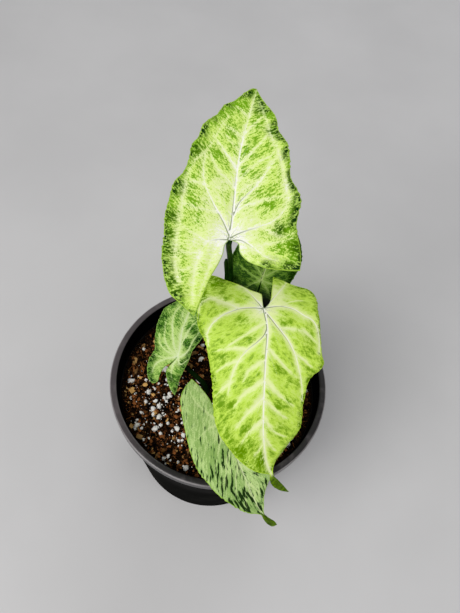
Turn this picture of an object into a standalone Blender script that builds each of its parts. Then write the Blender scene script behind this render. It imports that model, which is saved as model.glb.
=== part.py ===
"""Potted batik syngonium: a young arrowhead plant with five leaves in a round black nursery pot.

Units are metres, +Z is up, and the origin is the centre of the pot's flat base. Leaf tables are in
millimetres: u runs along the midrib from the petiole joint towards the tip, v runs across the blade,
positive on the right-hand side of someone who looks from the joint to the tip, from above.
"""

import math
import random

import bmesh
import bpy
import numpy as np
from mathutils import Matrix, Vector

MM = 0.001
GAP = 0.3 * MM

# Pot
POT_HEIGHT = 98 * MM
RIM_RADIUS = 60 * MM
RIM_INNER_RADIUS = 56 * MM
RIM_DEPTH = 7 * MM
RIM_TOP_ROUND = 1.0 * MM
WALL_TOP_RADIUS = 57.2 * MM
BASE_RADIUS = 46.5 * MM
WALL = 1.5 * MM
FLOOR = 2.5 * MM
POT_SIDES = 64
DRAIN_HOLES = 8
DRAIN_RADIUS = 4 * MM
DRAIN_CIRCLE = 36 * MM

# Soil
SOIL_TOP = 84 * MM
SOIL_RINGS = 15
SOIL_SIDES = 54
SOIL_ROUGHNESS = 0.7 * MM
GRAIN_COUNT = 26
GRAIN_HEIGHT = 1.6 * MM
GRAIN_RADIUS = 3.6 * MM

# Stems
STEM_RADIUS = 3.0 * MM
STEM_TOP = 99 * MM
STEM_FOOT = 66 * MM
PETIOLE_FOOT = 70 * MM
PETIOLE_BASE_RADIUS = 2.0 * MM
PETIOLE_TIP_RADIUS = 1.15 * MM
PETIOLE_POINTS = 22
SHEATH_RADIUS = 1.2 * MM
SHEATH_OFFSET = 1.8 * MM
SHEATH_TOP = 182 * MM

# Leaves
BLADE = 0.8 * MM
LEAF_ROWS = 28
LEAF_COLUMNS = 4
SPINE_SPAN = 7

# A spine row is u, x, y, z, roll: millimetres and degrees. The outline runs from the lobe's end to the
# tip on the outer edge, and from the lobe's end to the joint on the inner edge, as pairs of u and v.
LEAVES = {
    "leaf_upright": {
        "spine": [(-34, -8, -25, 200, 0), (0, -5.4, 7.9, 212, 0), (36, -7, 42, 226, 0),
                  (70, -4.5, 72.4, 234.4, 0)],
        "fold": (7, 7),
        "curl": (-0.3, 0.0),
        "wave": (0.5, 21, 0),
        "right_outer": [(-8.4, 17), (-8, 21), (-7.5, 25), (-7, 28.2), (-6.5, 30), (-5.6, 30), (-2, 29.3),
                        (3.5, 27.5), (9, 26), (13.5, 26.5), (18, 27), (23, 24.8), (27, 22.3),
                        (33.5, 21.2), (40, 19.9), (45, 18), (48, 15.6), (51, 13.4), (54.2, 12.4),
                        (57.2, 10.9), (60.2, 8), (62, 6), (66.2, 2.4), (70, 0)],
        "right_inner": [(-8.4, 17), (-8, 13.5), (-7.3, 9.5), (-6, 7), (-4, 5), (-1, 3.9),
                        (-0.2, 2.4), (0, 0)],
        "left_outer": [(-32.5, 6), (-31, 9), (-28.5, 13.9), (-27, 17), (-24, 19.6), (-18.5, 22.5),
                       (-12, 24.8), (-4, 25.8), (5, 26.8), (13.5, 26), (20, 24.8), (24, 21.5),
                       (31, 20), (35, 20), (39, 18), (43.5, 17.5), (48, 15), (51, 12.8), (54, 12.2),
                       (57.6, 11), (60, 8.3), (63, 6.3), (67, 3.8), (69.6, 1.2), (70, 0)],
        "left_inner": [(-32.5, 6), (-23.5, 4.8), (-15.2, 3.5), (-11.2, 2.3), (-6.5, 1.3), (-2, 1.1),
                       (0, 0)],
    },
    "leaf_front": {
        "spine": [(-24, 11, 29, 166, 0), (0, 14.8, 7.4, 166, 0), (9, 17.5, -0.2, 164.3, 0),
                  (27, 19.3, -15.8, 158.2, 0), (45, 21.3, -30.7, 149.2, 0), (62, 24.4, -44.5, 137, 0),
                  (78, 29.8, -54.8, 125.5, 0), (84, 33, -57, 122.5, -25),
                  (98, 41.2, -60.8, 117, -45)],
        "fold": (-4, -4),
        "curl": (-0.5, -0.5),
        "wave": (0.5, 19, 0),
        "right_outer": [(-22.3, 23.5), (-20.5, 26.2), (-15, 27.8), (-8, 29.3), (-3, 31.2),
                        (2.5, 31.5), (8, 31.2), (14.5, 30.3), (23, 27.5), (30, 25.6),
                        (40.5, 23.6), (48.5, 23), (55, 21.8), (59, 20), (63.5, 16.9), (68.5, 13),
                        (72.5, 9), (76, 5), (79, 1.8), (80.5, 0.8), (83, 2), (86.5, 3.2),
                        (92, 2.6), (98, 0)],
        "right_inner": [(-22.3, 23.5), (-21, 21), (-18, 16.8), (-15, 11.5), (-12.6, 7.6), (-10.8, 5),
                        (-9.4, 2), (-8.4, 0.3), (0, 0)],
        "left_outer": [(-20, 6), (-18, 11), (-16, 16.5), (-15.7, 22), (-13, 26.5), (-8.5, 28),
                       (5, 27.4), (14, 26.6), (20.5, 27.2), (26.5, 28.5), (29.6, 26.9),
                       (32.5, 23.6), (35.5, 21.6), (42.5, 20), (48, 19.3), (55, 19.3), (60, 18.4),
                       (63.5, 16.3), (67, 13.3), (73, 8.4), (76.5, 4), (79, 1.6), (80.5, 0.8), (87, 0.6),
                       (98, 0)],
        "left_inner": [(-20, 6), (-11.5, 5), (-5, 4), (-2.5, 3), (-0.8, 1.4), (0, 0)],
    },
    "leaf_side": {
        "spine": [(-20, -31, -11.3, 104, 0), (-10, -29, -3.6, 106, 0), (0, -24.6, 3.9, 108, 0),
                  (18, -23.9, 21.8, 112, 0), (40, -21.2, 42.8, 110.7, 0)],
        "fold": (4, 4),
        "curl": (-0.6, -0.6),
        "wave": (0.5, 12, 1),
        "right_outer": [(-23.5, 10), (-18, 9.6), (-12, 9.2), (-6, 8.2), (0, 6.8), (5.5, 6.8), (10.5, 10),
                        (16, 12.6), (24, 12.5), (31, 9.5), (36.5, 5), (40, 0)],
        "right_inner": [(-23.5, 10), (-21.5, 7), (-18.5, 4.4), (-14.5, 2), (-11, 0.3), (0, 0)],
        "left_outer": [(-22, 3.8), (-20.3, 6.4), (-13.5, 10.2), (-5, 12.4), (4.5, 14.6), (12, 14.8),
                       (18, 14.7), (24, 13.8), (30, 10.8), (36, 5.8), (40, 0)],
        "left_inner": [(-22, 3.8), (-20, 1.8), (-15, 1.9), (-9, 1.6), (-5, 0.5), (0, 0)],
    },
    "leaf_low": {
        "spine": [(-28, -8, -9, 113, 0), (0, 5, -32, 114.5, 0), (28, 19, -53, 108, 0),
                  (53, 32.2, -66.7, 92, 0), (57, 34.6, -68, 90, -20), (68, 41.2, -69.7, 86, -35)],
        "fold": (4, 4),
        "curl": (-0.3, -0.3),
        "wave": (0.3, 17, 2),
        "right_outer": [(-30.5, 6), (-26.4, 11.2), (-22, 14.6), (-15.6, 16.6), (-8, 18), (2, 19.4),
                        (10, 20.3), (18.6, 19.7), (23.5, 18.2), (29.5, 16.5), (37.5, 12.3),
                        (46.5, 6.2), (52, 1.6), (53.5, 0.9), (57, 1.5), (62, 2.1), (66.5, 1.5),
                        (68, 0)],
        "right_inner": [(-30.5, 6), (-27.5, 4.6), (-23, 3), (-16, 1.2), (-8, 0.8), (0, 0)],
        "left_outer": [(-25, 6), (-22, 9.5), (-16, 13), (-8, 16), (0, 18), (10, 19.3),
                       (20, 19), (30, 16.5), (36, 13.8), (41, 9.3), (45, 5.8), (50, 3),
                       (53.5, 0.9), (58, 0.8), (65, 0.8), (68, 0)],
        "left_inner": [(-25, 6), (-18, 4.5), (-10, 2.5), (0, 0)],
    },
    "leaf_back": {
        "spine": [(-20, 10, 17, 147, 0), (0, 12.9, 33.5, 150, 0), (22, 17, 55, 154, 0),
                  (44, 22, 76, 153, 0)],
        "fold": (3, 3),
        "curl": (-0.4, -0.4),
        "wave": (0.4, 15, 1),
        "right_outer": [(-18, 6), (-14.5, 10), (-11, 12), (-4, 14), (4, 14.5), (11, 16), (18, 16.3),
                        (26, 13.5), (34, 9), (40, 4.3), (44, 0)],
        "right_inner": [(-18, 6), (-15, 3), (-10, 1.3), (-4, 0.6), (0, 0)],
        "left_outer": [(-16, 4.5), (-13, 8), (-11, 10.2), (-7, 13), (-3, 15.2), (0, 17.4), (4, 18.8), (9, 18.8),
                       (16, 17.5), (24, 14.5), (32, 10), (39, 5), (44, 0)],
        "left_inner": [(-16, 4.5), (-13, 1.8), (-8, 0.5), (-3, 0.2), (0, 0)],
    },
}

# A petiole runs through these points, in millimetres, from its foot in the soil to its leaf's joint.
# The angle is where its foot stands round the stem, in degrees from +X.
PETIOLES = {
    "petiole_upright": {"leaf": "leaf_upright", "angle": 122,
                        "through": [(-3.3, 17, 118), (-2.8, 29.5, 153), (-3.7, 24.6, 171),
                                    (-4.5, 18.8, 187)]},
    "petiole_front": {"leaf": "leaf_front", "angle": 12, "through": [(11, 6, 118), (16, 13, 150)]},
    "petiole_side": {"leaf": "leaf_side", "angle": 215, "through": [(-8, -2.2, 92), (-16, 1.4, 97.5)]},
    "petiole_low": {"leaf": "leaf_low", "angle": 300, "through": [(5, -12, 97), (6, -24, 106)]},
    "petiole_back": {"leaf": "leaf_back", "angle": 64,
                     "through": [(6.3, 11.5, 108), (10, 22.5, 127), (12.3, 30.8, 139)]},
}
FOOT_CIRCLE = 6.5 * MM
JOINT_DROP = 5 * MM


def clear_scene():
    for obj in list(bpy.data.objects):
        bpy.data.objects.remove(obj)


def make_material(name, colour, roughness, metallic=0.0):
    material = bpy.data.materials.new(name)
    material.use_nodes = True
    shader = material.node_tree.nodes["Principled BSDF"]
    shader.inputs["Base Color"].default_value = (*colour, 1)
    shader.inputs["Roughness"].default_value = roughness
    shader.inputs["Metallic"].default_value = metallic
    material.diffuse_color = (*colour, 1)
    return material


def make_object(name, mesh, collection, material=None):
    obj = bpy.data.objects.new(name, mesh)
    collection.objects.link(obj)
    if material:
        mesh.materials.append(material)
    return obj


def mesh_from(bm, name):
    mesh = bpy.data.meshes.new(name)
    bm.to_mesh(mesh)
    bm.free()
    return mesh


def add_boolean(obj, other, operation):
    cut = obj.modifiers.new("boolean", "BOOLEAN")
    cut.operation = operation
    cut.solver = "EXACT"
    cut.object = other
    return cut


def hide_helper(obj):
    obj.hide_render = True
    obj.display_type = "WIRE"


def smooth(mesh, angle=40):
    mesh.shade_smooth()
    mesh.set_sharp_from_angle(angle=math.radians(angle))


def wall_radius(z):
    """Outer radius of the tapered wall at height z."""
    share = z / (POT_HEIGHT - RIM_DEPTH)
    return BASE_RADIUS + (WALL_TOP_RADIUS - BASE_RADIUS) * share


def cylinder(name, radius, low, high, at, collection, sides=16):
    bm = bmesh.new()
    place = Matrix.Translation((at[0], at[1], (low + high) / 2))
    bmesh.ops.create_cone(bm, cap_ends=True, segments=sides, radius1=radius, radius2=radius,
                          depth=high - low, matrix=place)
    return make_object(name, mesh_from(bm, name), collection)


def build_pot(collection, cutters, material):
    """Tapered wall with a thicker rolled rim, turned from one profile, with drain holes in its floor."""
    rim_low = POT_HEIGHT - RIM_DEPTH
    top = POT_HEIGHT
    profile = [
        (0, top - POT_HEIGHT),
        (BASE_RADIUS - 1.5 * MM, 0),
        (BASE_RADIUS, 1.5 * MM),
        (wall_radius(rim_low), rim_low),
        (RIM_RADIUS - 0.6 * MM, rim_low),
        (RIM_RADIUS, top - RIM_TOP_ROUND),
        (RIM_RADIUS - RIM_TOP_ROUND, top),
        (RIM_INNER_RADIUS + 0.6 * MM, top),
        (RIM_INNER_RADIUS, top - 0.6 * MM),
        (wall_radius(rim_low) - WALL, rim_low - 1 * MM),
        (wall_radius(FLOOR) - WALL, FLOOR + 2 * MM),
        (wall_radius(FLOOR) - WALL - 2 * MM, FLOOR),
        (0, FLOOR),
    ]
    bm = bmesh.new()
    points = [bm.verts.new((r, 0, z)) for r, z in profile]
    for a, b in zip(points, points[1:]):
        bm.edges.new((a, b))
    obj = make_object("pot", mesh_from(bm, "pot"), collection, material)
    turn = obj.modifiers.new("turn", "SCREW")
    turn.steps = turn.render_steps = POT_SIDES
    turn.use_merge_vertices = True
    turn.merge_threshold = 0.00001
    turn.use_normal_calculate = True
    holes = bmesh.new()
    for i in range(DRAIN_HOLES):
        angle = 2 * math.pi * (i + 0.5) / DRAIN_HOLES
        spot = Vector((DRAIN_CIRCLE * math.cos(angle), DRAIN_CIRCLE * math.sin(angle), FLOOR / 2))
        bmesh.ops.create_cone(holes, cap_ends=True, segments=14, radius1=DRAIN_RADIUS,
                              radius2=DRAIN_RADIUS, depth=3 * FLOOR,
                              matrix=Matrix.Translation(spot))
    cutter = make_object("drain_cutter", mesh_from(holes, "drain_cutter"), cutters)
    hide_helper(cutter)
    add_boolean(obj, cutter, "DIFFERENCE")
    return obj


def soil_grains():
    """Places of the coarse grains that stand out of the soil, as x, y, radius and height."""
    draw = random.Random(7)
    grains = []
    while len(grains) < GRAIN_COUNT:
        radius = 49 * MM * math.sqrt(draw.random())
        angle = draw.uniform(0, 2 * math.pi)
        x, y = radius * math.cos(angle), radius * math.sin(angle)
        if radius < 14 * MM:
            continue
        grains.append((x, y, GRAIN_RADIUS * draw.uniform(0.7, 1.15), GRAIN_HEIGHT * draw.uniform(0.6, 1.2)))
    return grains


def soil_height(x, y, grains):
    """Top of the soil: a slight dome round the stem, small lumps and the coarse grains."""
    distance = math.hypot(x, y)
    height = SOIL_TOP + 1.5 * MM * math.exp(-((distance / (18 * MM)) ** 2))
    lumps = math.sin(x / (3.1 * MM) + 1.3) * math.cos(y / (2.7 * MM))
    lumps += 0.7 * math.sin((x + y) / (1.9 * MM)) * math.cos((x - 1.3 * y) / (2.3 * MM))
    height += SOIL_ROUGHNESS * lumps * 0.6
    for gx, gy, radius, tall in grains:
        away = math.hypot(x - gx, y - gy) / radius
        if away < 1:
            height += tall * (1 - away * away)
    return height


def build_soil(collection, cutters, material, stems):
    """Potting mix that fills the pot, with a lumpy top and a plain hole for each stem."""
    inner = wall_radius(SOIL_TOP) - WALL - GAP
    foot = wall_radius(FLOOR) - WALL - 2 * MM - GAP
    grains = soil_grains()
    bm = bmesh.new()
    centre = bm.verts.new((0, 0, soil_height(0, 0, grains)))
    rings = []
    for i in range(1, SOIL_RINGS + 1):
        radius = inner * i / SOIL_RINGS
        ring = []
        for k in range(SOIL_SIDES):
            angle = 2 * math.pi * (k + 0.5 * (i % 2)) / SOIL_SIDES
            x, y = radius * math.cos(angle), radius * math.sin(angle)
            z = soil_height(x, y, grains) if i < SOIL_RINGS else SOIL_TOP - 0.5 * MM
            ring.append(bm.verts.new((x, y, z)))
        rings.append(ring)
    for z, radius in ((FLOOR + 2 * MM + GAP, wall_radius(FLOOR) - WALL - GAP), (FLOOR + GAP, foot)):
        turn = 0.5 * (SOIL_RINGS % 2)
        ring = []
        for k in range(SOIL_SIDES):
            angle = 2 * math.pi * (k + turn) / SOIL_SIDES
            ring.append(bm.verts.new((radius * math.cos(angle), radius * math.sin(angle), z)))
        rings.append(ring)
    for k in range(SOIL_SIDES):
        bm.faces.new((centre, rings[0][k], rings[0][(k + 1) % SOIL_SIDES]))
    for inner_ring, outer_ring in zip(rings, rings[1:]):
        for k in range(SOIL_SIDES):
            n = (k + 1) % SOIL_SIDES
            bm.faces.new((inner_ring[k], outer_ring[k], outer_ring[n], inner_ring[n]))
    bm.faces.new(list(reversed(rings[-1])))
    bmesh.ops.recalc_face_normals(bm, faces=bm.faces)
    obj = make_object("soil", mesh_from(bm, "soil"), collection, material)
    holes = bmesh.new()
    for x, y, radius, low in stems:
        place = Matrix.Translation((x, y, low + 30 * MM - GAP))
        bmesh.ops.create_cone(holes, cap_ends=True, segments=16, radius1=radius, radius2=radius,
                              depth=60 * MM, matrix=place)
    cutter = make_object("stem_hole_cutter", mesh_from(holes, "stem_hole_cutter"), cutters)
    hide_helper(cutter)
    add_boolean(obj, cutter, "DIFFERENCE")
    return obj


def hermite(keys, rows, at):
    """Smooth curve through the rows, read at the values at, straight beyond both ends."""
    keys, rows, at = np.asarray(keys, float), np.asarray(rows, float), np.asarray(at, float)
    slopes = np.gradient(rows, keys, axis=0)
    i = np.clip(np.searchsorted(keys, at) - 1, 0, len(keys) - 2)
    step = (keys[i + 1] - keys[i])[:, None]
    share = (at - keys[i])[:, None] / step
    t = np.clip(share, 0, 1)
    start, end = slopes[i] * step, slopes[i + 1] * step
    value = (2 * t**3 - 3 * t**2 + 1) * rows[i] + (t**3 - 2 * t**2 + t) * start
    value += (3 * t**2 - 2 * t**3) * rows[i + 1] + (t**3 - t**2) * end
    return value + (share - t) * np.where(t < 0.5, start, end)


def spine_frame(leaf, u):
    """Point, side and normal directions on the leaf's spine at each u, in millimetres."""
    rows = np.array(leaf["spine"], float)
    place = lambda at: hermite(rows[:, 0], rows[:, 1:4], at)
    along = place(u + SPINE_SPAN) - place(u - SPINE_SPAN)
    along /= np.linalg.norm(along, axis=1, keepdims=True)
    side = np.cross(along, (0, 0, 1))
    side /= np.linalg.norm(side, axis=1, keepdims=True)
    up = np.cross(side, along)
    roll = np.radians(np.interp(u, rows[:, 0], rows[:, 4]))[:, None]
    side = np.cos(roll) * side + np.sin(roll) * up
    return place(u), side, np.cross(side, along)


def leaf_point(leaf, u, v, edge):
    """The blade's middle surface at u, v, in millimetres. edge is 0 at the midrib and 1 at the margin."""
    right = v >= 0
    place, side, normal = spine_frame(leaf, u)
    fold = np.radians(np.where(right, leaf["fold"][0], leaf["fold"][1]))
    curl = np.radians(np.where(right, leaf["curl"][0], leaf["curl"][1]) + 1e-6)
    width = np.abs(v)
    across = (np.sin(fold + curl * width) - np.sin(fold)) / curl
    lift = (np.cos(fold) - np.cos(fold + curl * width)) / curl
    height, length, phase = leaf["wave"]
    lift = lift + height * edge**3 * np.sin(2 * math.pi * u / length + phase + 1.7 * right)
    return place + side * (np.where(right, 1, -1) * across)[:, None] + normal * lift[:, None]


def half_grid(leaf, side, rows, columns):
    """Rows of u, v and edge share over one half of the blade, from the lobe's end to the tip."""
    outer = np.array(leaf[side + "_outer"], float)
    inner = np.array(leaf[side + "_inner"], float)
    lobe, tip = outer[0, 0], outer[-1, 0]
    longest = min(leaf["right_outer"][0][0], leaf["left_outer"][0][0])
    lobe_rows = max(5, round(rows * -longest / (tip - longest)))
    us = list(np.linspace(lobe, 0, lobe_rows + 1)[1:]) + list(np.linspace(0, tip, rows - lobe_rows + 1)[1:-1])
    sign = 1 if side == "right" else -1
    grid = []
    for u in us:
        out = np.interp(u, outer[:, 0], outer[:, 1])
        start = np.interp(u, inner[:, 0], inner[:, 1]) if u < 0 else 0.0
        shares = np.linspace(0, 1, columns + 1)
        grid.append([(u, sign * (start + (out - start) * s), s) for s in shares])
    ends = ((lobe, sign * outer[0, 1], 1.0), (tip, 0.0, 0.0))
    return grid, ends


def blade_mesh(leaf, name, rows, columns):
    """The blade as one open sheet: two halves that share the midrib, with free basal lobes."""
    bm = bmesh.new()
    made = {}

    def vertex(u, v, edge, side):
        on_midrib = u >= -1e-9 and abs(v) < 1e-9
        key = ("midrib", round(u, 4)) if on_midrib else (side, round(u, 4), round(v, 4))
        if key not in made:
            signed = v if abs(v) > 1e-9 else (1e-7 if side == "right" else -1e-7)
            spot = leaf_point(leaf, np.array([u]), np.array([signed]), np.array([edge]))[0]
            made[key] = bm.verts.new(spot * MM)
        return made[key]

    for side in ("right", "left"):
        grid, (lobe_end, tip_end) = half_grid(leaf, side, rows, columns)
        lines = [[vertex(u, v, s, side) for u, v, s in row] for row in grid]
        lobe, tip = vertex(*lobe_end, side), vertex(*tip_end, side)
        faces = [(lobe, a, b) for a, b in zip(lines[0], lines[0][1:])]
        for low, high in zip(lines, lines[1:]):
            faces += [(a, d, c, b) for a, b, c, d in zip(low, low[1:], high[1:], high)]
        faces += [(a, tip, b) for a, b in zip(lines[-1], lines[-1][1:])]
        for corners in faces:
            kept = list(dict.fromkeys(corners))
            if len(kept) > 2:
                bm.faces.new(kept if side == "left" else kept[::-1])
    bmesh.ops.recalc_face_normals(bm, faces=bm.faces)
    bmesh.ops.triangulate(bm, faces=bm.faces, quad_method="SHORT_EDGE")
    return mesh_from(bm, name)


def build_leaf(name, collection, material):
    obj = make_object(name, blade_mesh(LEAVES[name], name, LEAF_ROWS, LEAF_COLUMNS), collection, material)
    shell = obj.modifiers.new("thickness", "SOLIDIFY")
    shell.thickness = BLADE
    shell.offset = 0
    shell.use_even_offset = False
    smooth(obj.data, 60)
    return obj


def joint_of(leaf):
    """The petiole joint, just under the blade, and the blade's normal there."""
    place, _, normal = spine_frame(leaf, np.array([0.0]))
    return place[0] * MM, normal[0]


def tube(name, points, radii, collection, sides=2):
    """A tapered stalk through the points, with closed ends, made a mesh."""
    curve = bpy.data.curves.new(name, "CURVE")
    curve.dimensions = "3D"
    curve.bevel_depth = 1.0
    curve.bevel_resolution = sides
    curve.use_fill_caps = True
    spline = curve.splines.new("POLY")
    spline.points.add(len(points) - 1)
    for point, place, radius in zip(spline.points, points, radii):
        point.co = (*place, 1)
        point.radius = radius
    helper = make_object(name + "_curve", curve, collection)
    bpy.context.view_layer.update()
    graph = bpy.context.evaluated_depsgraph_get()
    mesh = bpy.data.meshes.new_from_object(helper.evaluated_get(graph))
    bpy.data.objects.remove(helper)
    bm = bmesh.new()
    bm.from_mesh(mesh)
    bmesh.ops.remove_doubles(bm, verts=bm.verts, dist=0.00001)
    bmesh.ops.recalc_face_normals(bm, faces=bm.faces)
    bm.to_mesh(mesh)
    bm.free()
    mesh.name = name
    return make_object(name, mesh, collection)


def petiole_route(name):
    """Centre line of a petiole: up out of the soil, through its points, and into the joint from below."""
    spec = PETIOLES[name]
    angle = math.radians(spec["angle"])
    foot = np.array([FOOT_CIRCLE * math.cos(angle), FOOT_CIRCLE * math.sin(angle), PETIOLE_FOOT])
    collar = foot + (0, 0, SOIL_TOP - PETIOLE_FOOT)
    joint, normal = joint_of(LEAVES[spec["leaf"]])
    end = joint - normal * (BLADE / 2 + GAP)
    below = end - normal * JOINT_DROP
    stops = np.array([foot, collar] + [np.array(p) * MM for p in spec["through"]] + [below, end])
    keys = np.concatenate([[0], np.cumsum(np.linalg.norm(np.diff(stops, axis=0), axis=1))])
    return hermite(keys, stops, np.linspace(0, keys[-1], PETIOLE_POINTS))


def build_petiole(name, collection, cutters, material):
    route = petiole_route(name)
    share = np.linspace(0, 1, len(route))
    radii = PETIOLE_BASE_RADIUS + (PETIOLE_TIP_RADIUS - PETIOLE_BASE_RADIUS) * share**0.7
    obj = tube(name, route, radii, collection)
    obj.data.materials.append(material)
    if name == "petiole_upright":
        in_sheath = (route[:, 2] > SOIL_TOP + 8 * MM) & (route[:, 2] < SHEATH_TOP)
        wing_points = route[in_sheath] + np.array([-SHEATH_OFFSET, 0, 0])
        wing_radii = np.full(len(wing_points), SHEATH_RADIUS)
        wing_radii[-1] = SHEATH_RADIUS * 0.4
        wing = tube("sheath_wing", wing_points, wing_radii, cutters)
        hide_helper(wing)
        add_boolean(obj, wing, "UNION")
    smooth(obj.data, 60)
    return obj, route[0]


def build_stem(collection, material):
    """The short stem between the petioles, from its root end in the soil to its blunt growing tip."""
    points = [(0, 0, STEM_FOOT), (0, 0, SOIL_TOP), (0, 0, STEM_TOP - 4 * MM), (0, 0, STEM_TOP)]
    radii = [STEM_RADIUS, STEM_RADIUS, STEM_RADIUS * 0.8, STEM_RADIUS * 0.35]
    obj = tube("stem", points, radii, collection)
    obj.data.materials.append(material)
    smooth(obj.data, 60)
    return obj


def main():
    clear_scene()
    scene = bpy.context.scene.collection
    parts = bpy.data.collections.new("potted_batik_syngonium")
    cutters = bpy.data.collections.new("cutters")
    scene.children.link(parts)
    scene.children.link(cutters)
    black = make_material("pot_plastic", (0.018, 0.018, 0.02), 0.42)
    earth = make_material("potting_mix", (0.09, 0.045, 0.02), 0.95)
    stalk = make_material("stalk", (0.10, 0.22, 0.05), 0.45)
    lime = make_material("leaf_lime", (0.42, 0.68, 0.12), 0.42)
    sage = make_material("leaf_sage", (0.30, 0.48, 0.22), 0.45)
    finishes = {"leaf_upright": lime, "leaf_front": lime, "leaf_side": sage, "leaf_low": sage,
                "leaf_back": sage}
    build_pot(parts, cutters, black)
    holes = [(0, 0, STEM_RADIUS + GAP, STEM_FOOT)]
    build_stem(parts, stalk)
    for name in PETIOLES:
        _, foot = build_petiole(name, parts, cutters, stalk)
        holes.append((foot[0], foot[1], PETIOLE_BASE_RADIUS + GAP, PETIOLE_FOOT))
    build_soil(parts, cutters, earth, holes)
    for name, finish in finishes.items():
        build_leaf(name, parts, finish)


main()
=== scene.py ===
"""Looks of the potted batik syngonium: fine leaves with their veins and mottling, loose potting mix
with perlite, bark and fibres, smooth petioles, and a moulded black nursery pot.

The spines and outlines of the leaves are those of the part's source, in millimetres. u runs along
the midrib from the petiole joint towards the tip, and v across the blade, positive on the right-hand
side of someone who looks from the joint to the tip, from above.
"""

import math
import random

import bmesh
import bpy
import numpy as np
from mathutils import Matrix, Vector, noise


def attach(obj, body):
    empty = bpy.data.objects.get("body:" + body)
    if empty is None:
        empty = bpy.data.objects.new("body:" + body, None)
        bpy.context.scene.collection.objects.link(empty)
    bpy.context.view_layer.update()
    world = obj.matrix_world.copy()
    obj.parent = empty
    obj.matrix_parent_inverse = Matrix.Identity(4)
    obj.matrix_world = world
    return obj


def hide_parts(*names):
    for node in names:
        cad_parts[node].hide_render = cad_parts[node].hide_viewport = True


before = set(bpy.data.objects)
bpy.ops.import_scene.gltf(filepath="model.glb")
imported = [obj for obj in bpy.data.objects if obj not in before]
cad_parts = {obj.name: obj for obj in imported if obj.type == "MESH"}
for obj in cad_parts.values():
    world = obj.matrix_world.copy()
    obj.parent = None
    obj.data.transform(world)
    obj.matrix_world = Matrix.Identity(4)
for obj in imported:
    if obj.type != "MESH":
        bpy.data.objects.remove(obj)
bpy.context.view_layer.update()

MM = 0.001

# Sizes of the part's source
POT_HEIGHT, RIM_RADIUS, RIM_INNER_RADIUS, RIM_DEPTH = 98, 60, 56, 7
RIM_BOTTOM = POT_HEIGHT - RIM_DEPTH
WALL_TOP_RADIUS, BASE_RADIUS, WALL, FLOOR = 57.2, 46.5, 1.5, 2.5
DRAIN_HOLES, DRAIN_RADIUS, DRAIN_CIRCLE = 8, 4, 36
SOIL_TOP = 84
STEM_RADIUS, STEM_TOP, STEM_FOOT = 3.0, 99, 66
PETIOLE_FOOT, PETIOLE_BASE_RADIUS, PETIOLE_TIP_RADIUS = 70, 2.0, 1.15
SHEATH_RADIUS, SHEATH_OFFSET, SHEATH_BOTTOM, SHEATH_TOP = 1.2, 1.8, SOIL_TOP + 8, 182
FOOT_CIRCLE, JOINT_DROP, JOINT_GAP, SOLID_LEAF_THICKNESS = 6.5, 5, 0.3, 0.8

# Sizes of the looks alone. The leaf is thinner than the solid, and its stalk ends closer to it.
LEAF_STEP, LEAF_THICKNESS, STALK_GAP = 0.55, 0.55, 0.1
SPINE_SPAN, MARGIN_RIPPLE, LOBE_BLEND = 7, 0.5, 16
POT_SIDES, RIM_TAPER, CORNER_RADIUS = 144, 0.6, 1.1
SOIL_RINGS, SOIL_SIDES, SOIL_GAP = 120, 300, 0.3
MOUND_HEIGHT, MOUND_REACH = 1.5, 18
# Bits lie between these distances from the pot's axis, and no corner of one is past the limit.
STEM_ROOM, BITS_REACH, BITS_LIMIT = 9.5, 52.5, 54.2
# The bits lie turned by up to this angle, in radians.
FULL_TURN = 6.28

# A wider vein than the first is a main one, and a wider one than the second has a shadow line.
MAIN_VEIN, LINED_VEIN = 0.75, 0.42
# The values of a point with no vein within its offset
NO_VEIN = {"offset": 9.0, "half": 0.3, "band": 0.0, "line": 0.0, "shine": 0.0, "tilt": 0.0}
TINY = 1e-6

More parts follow.
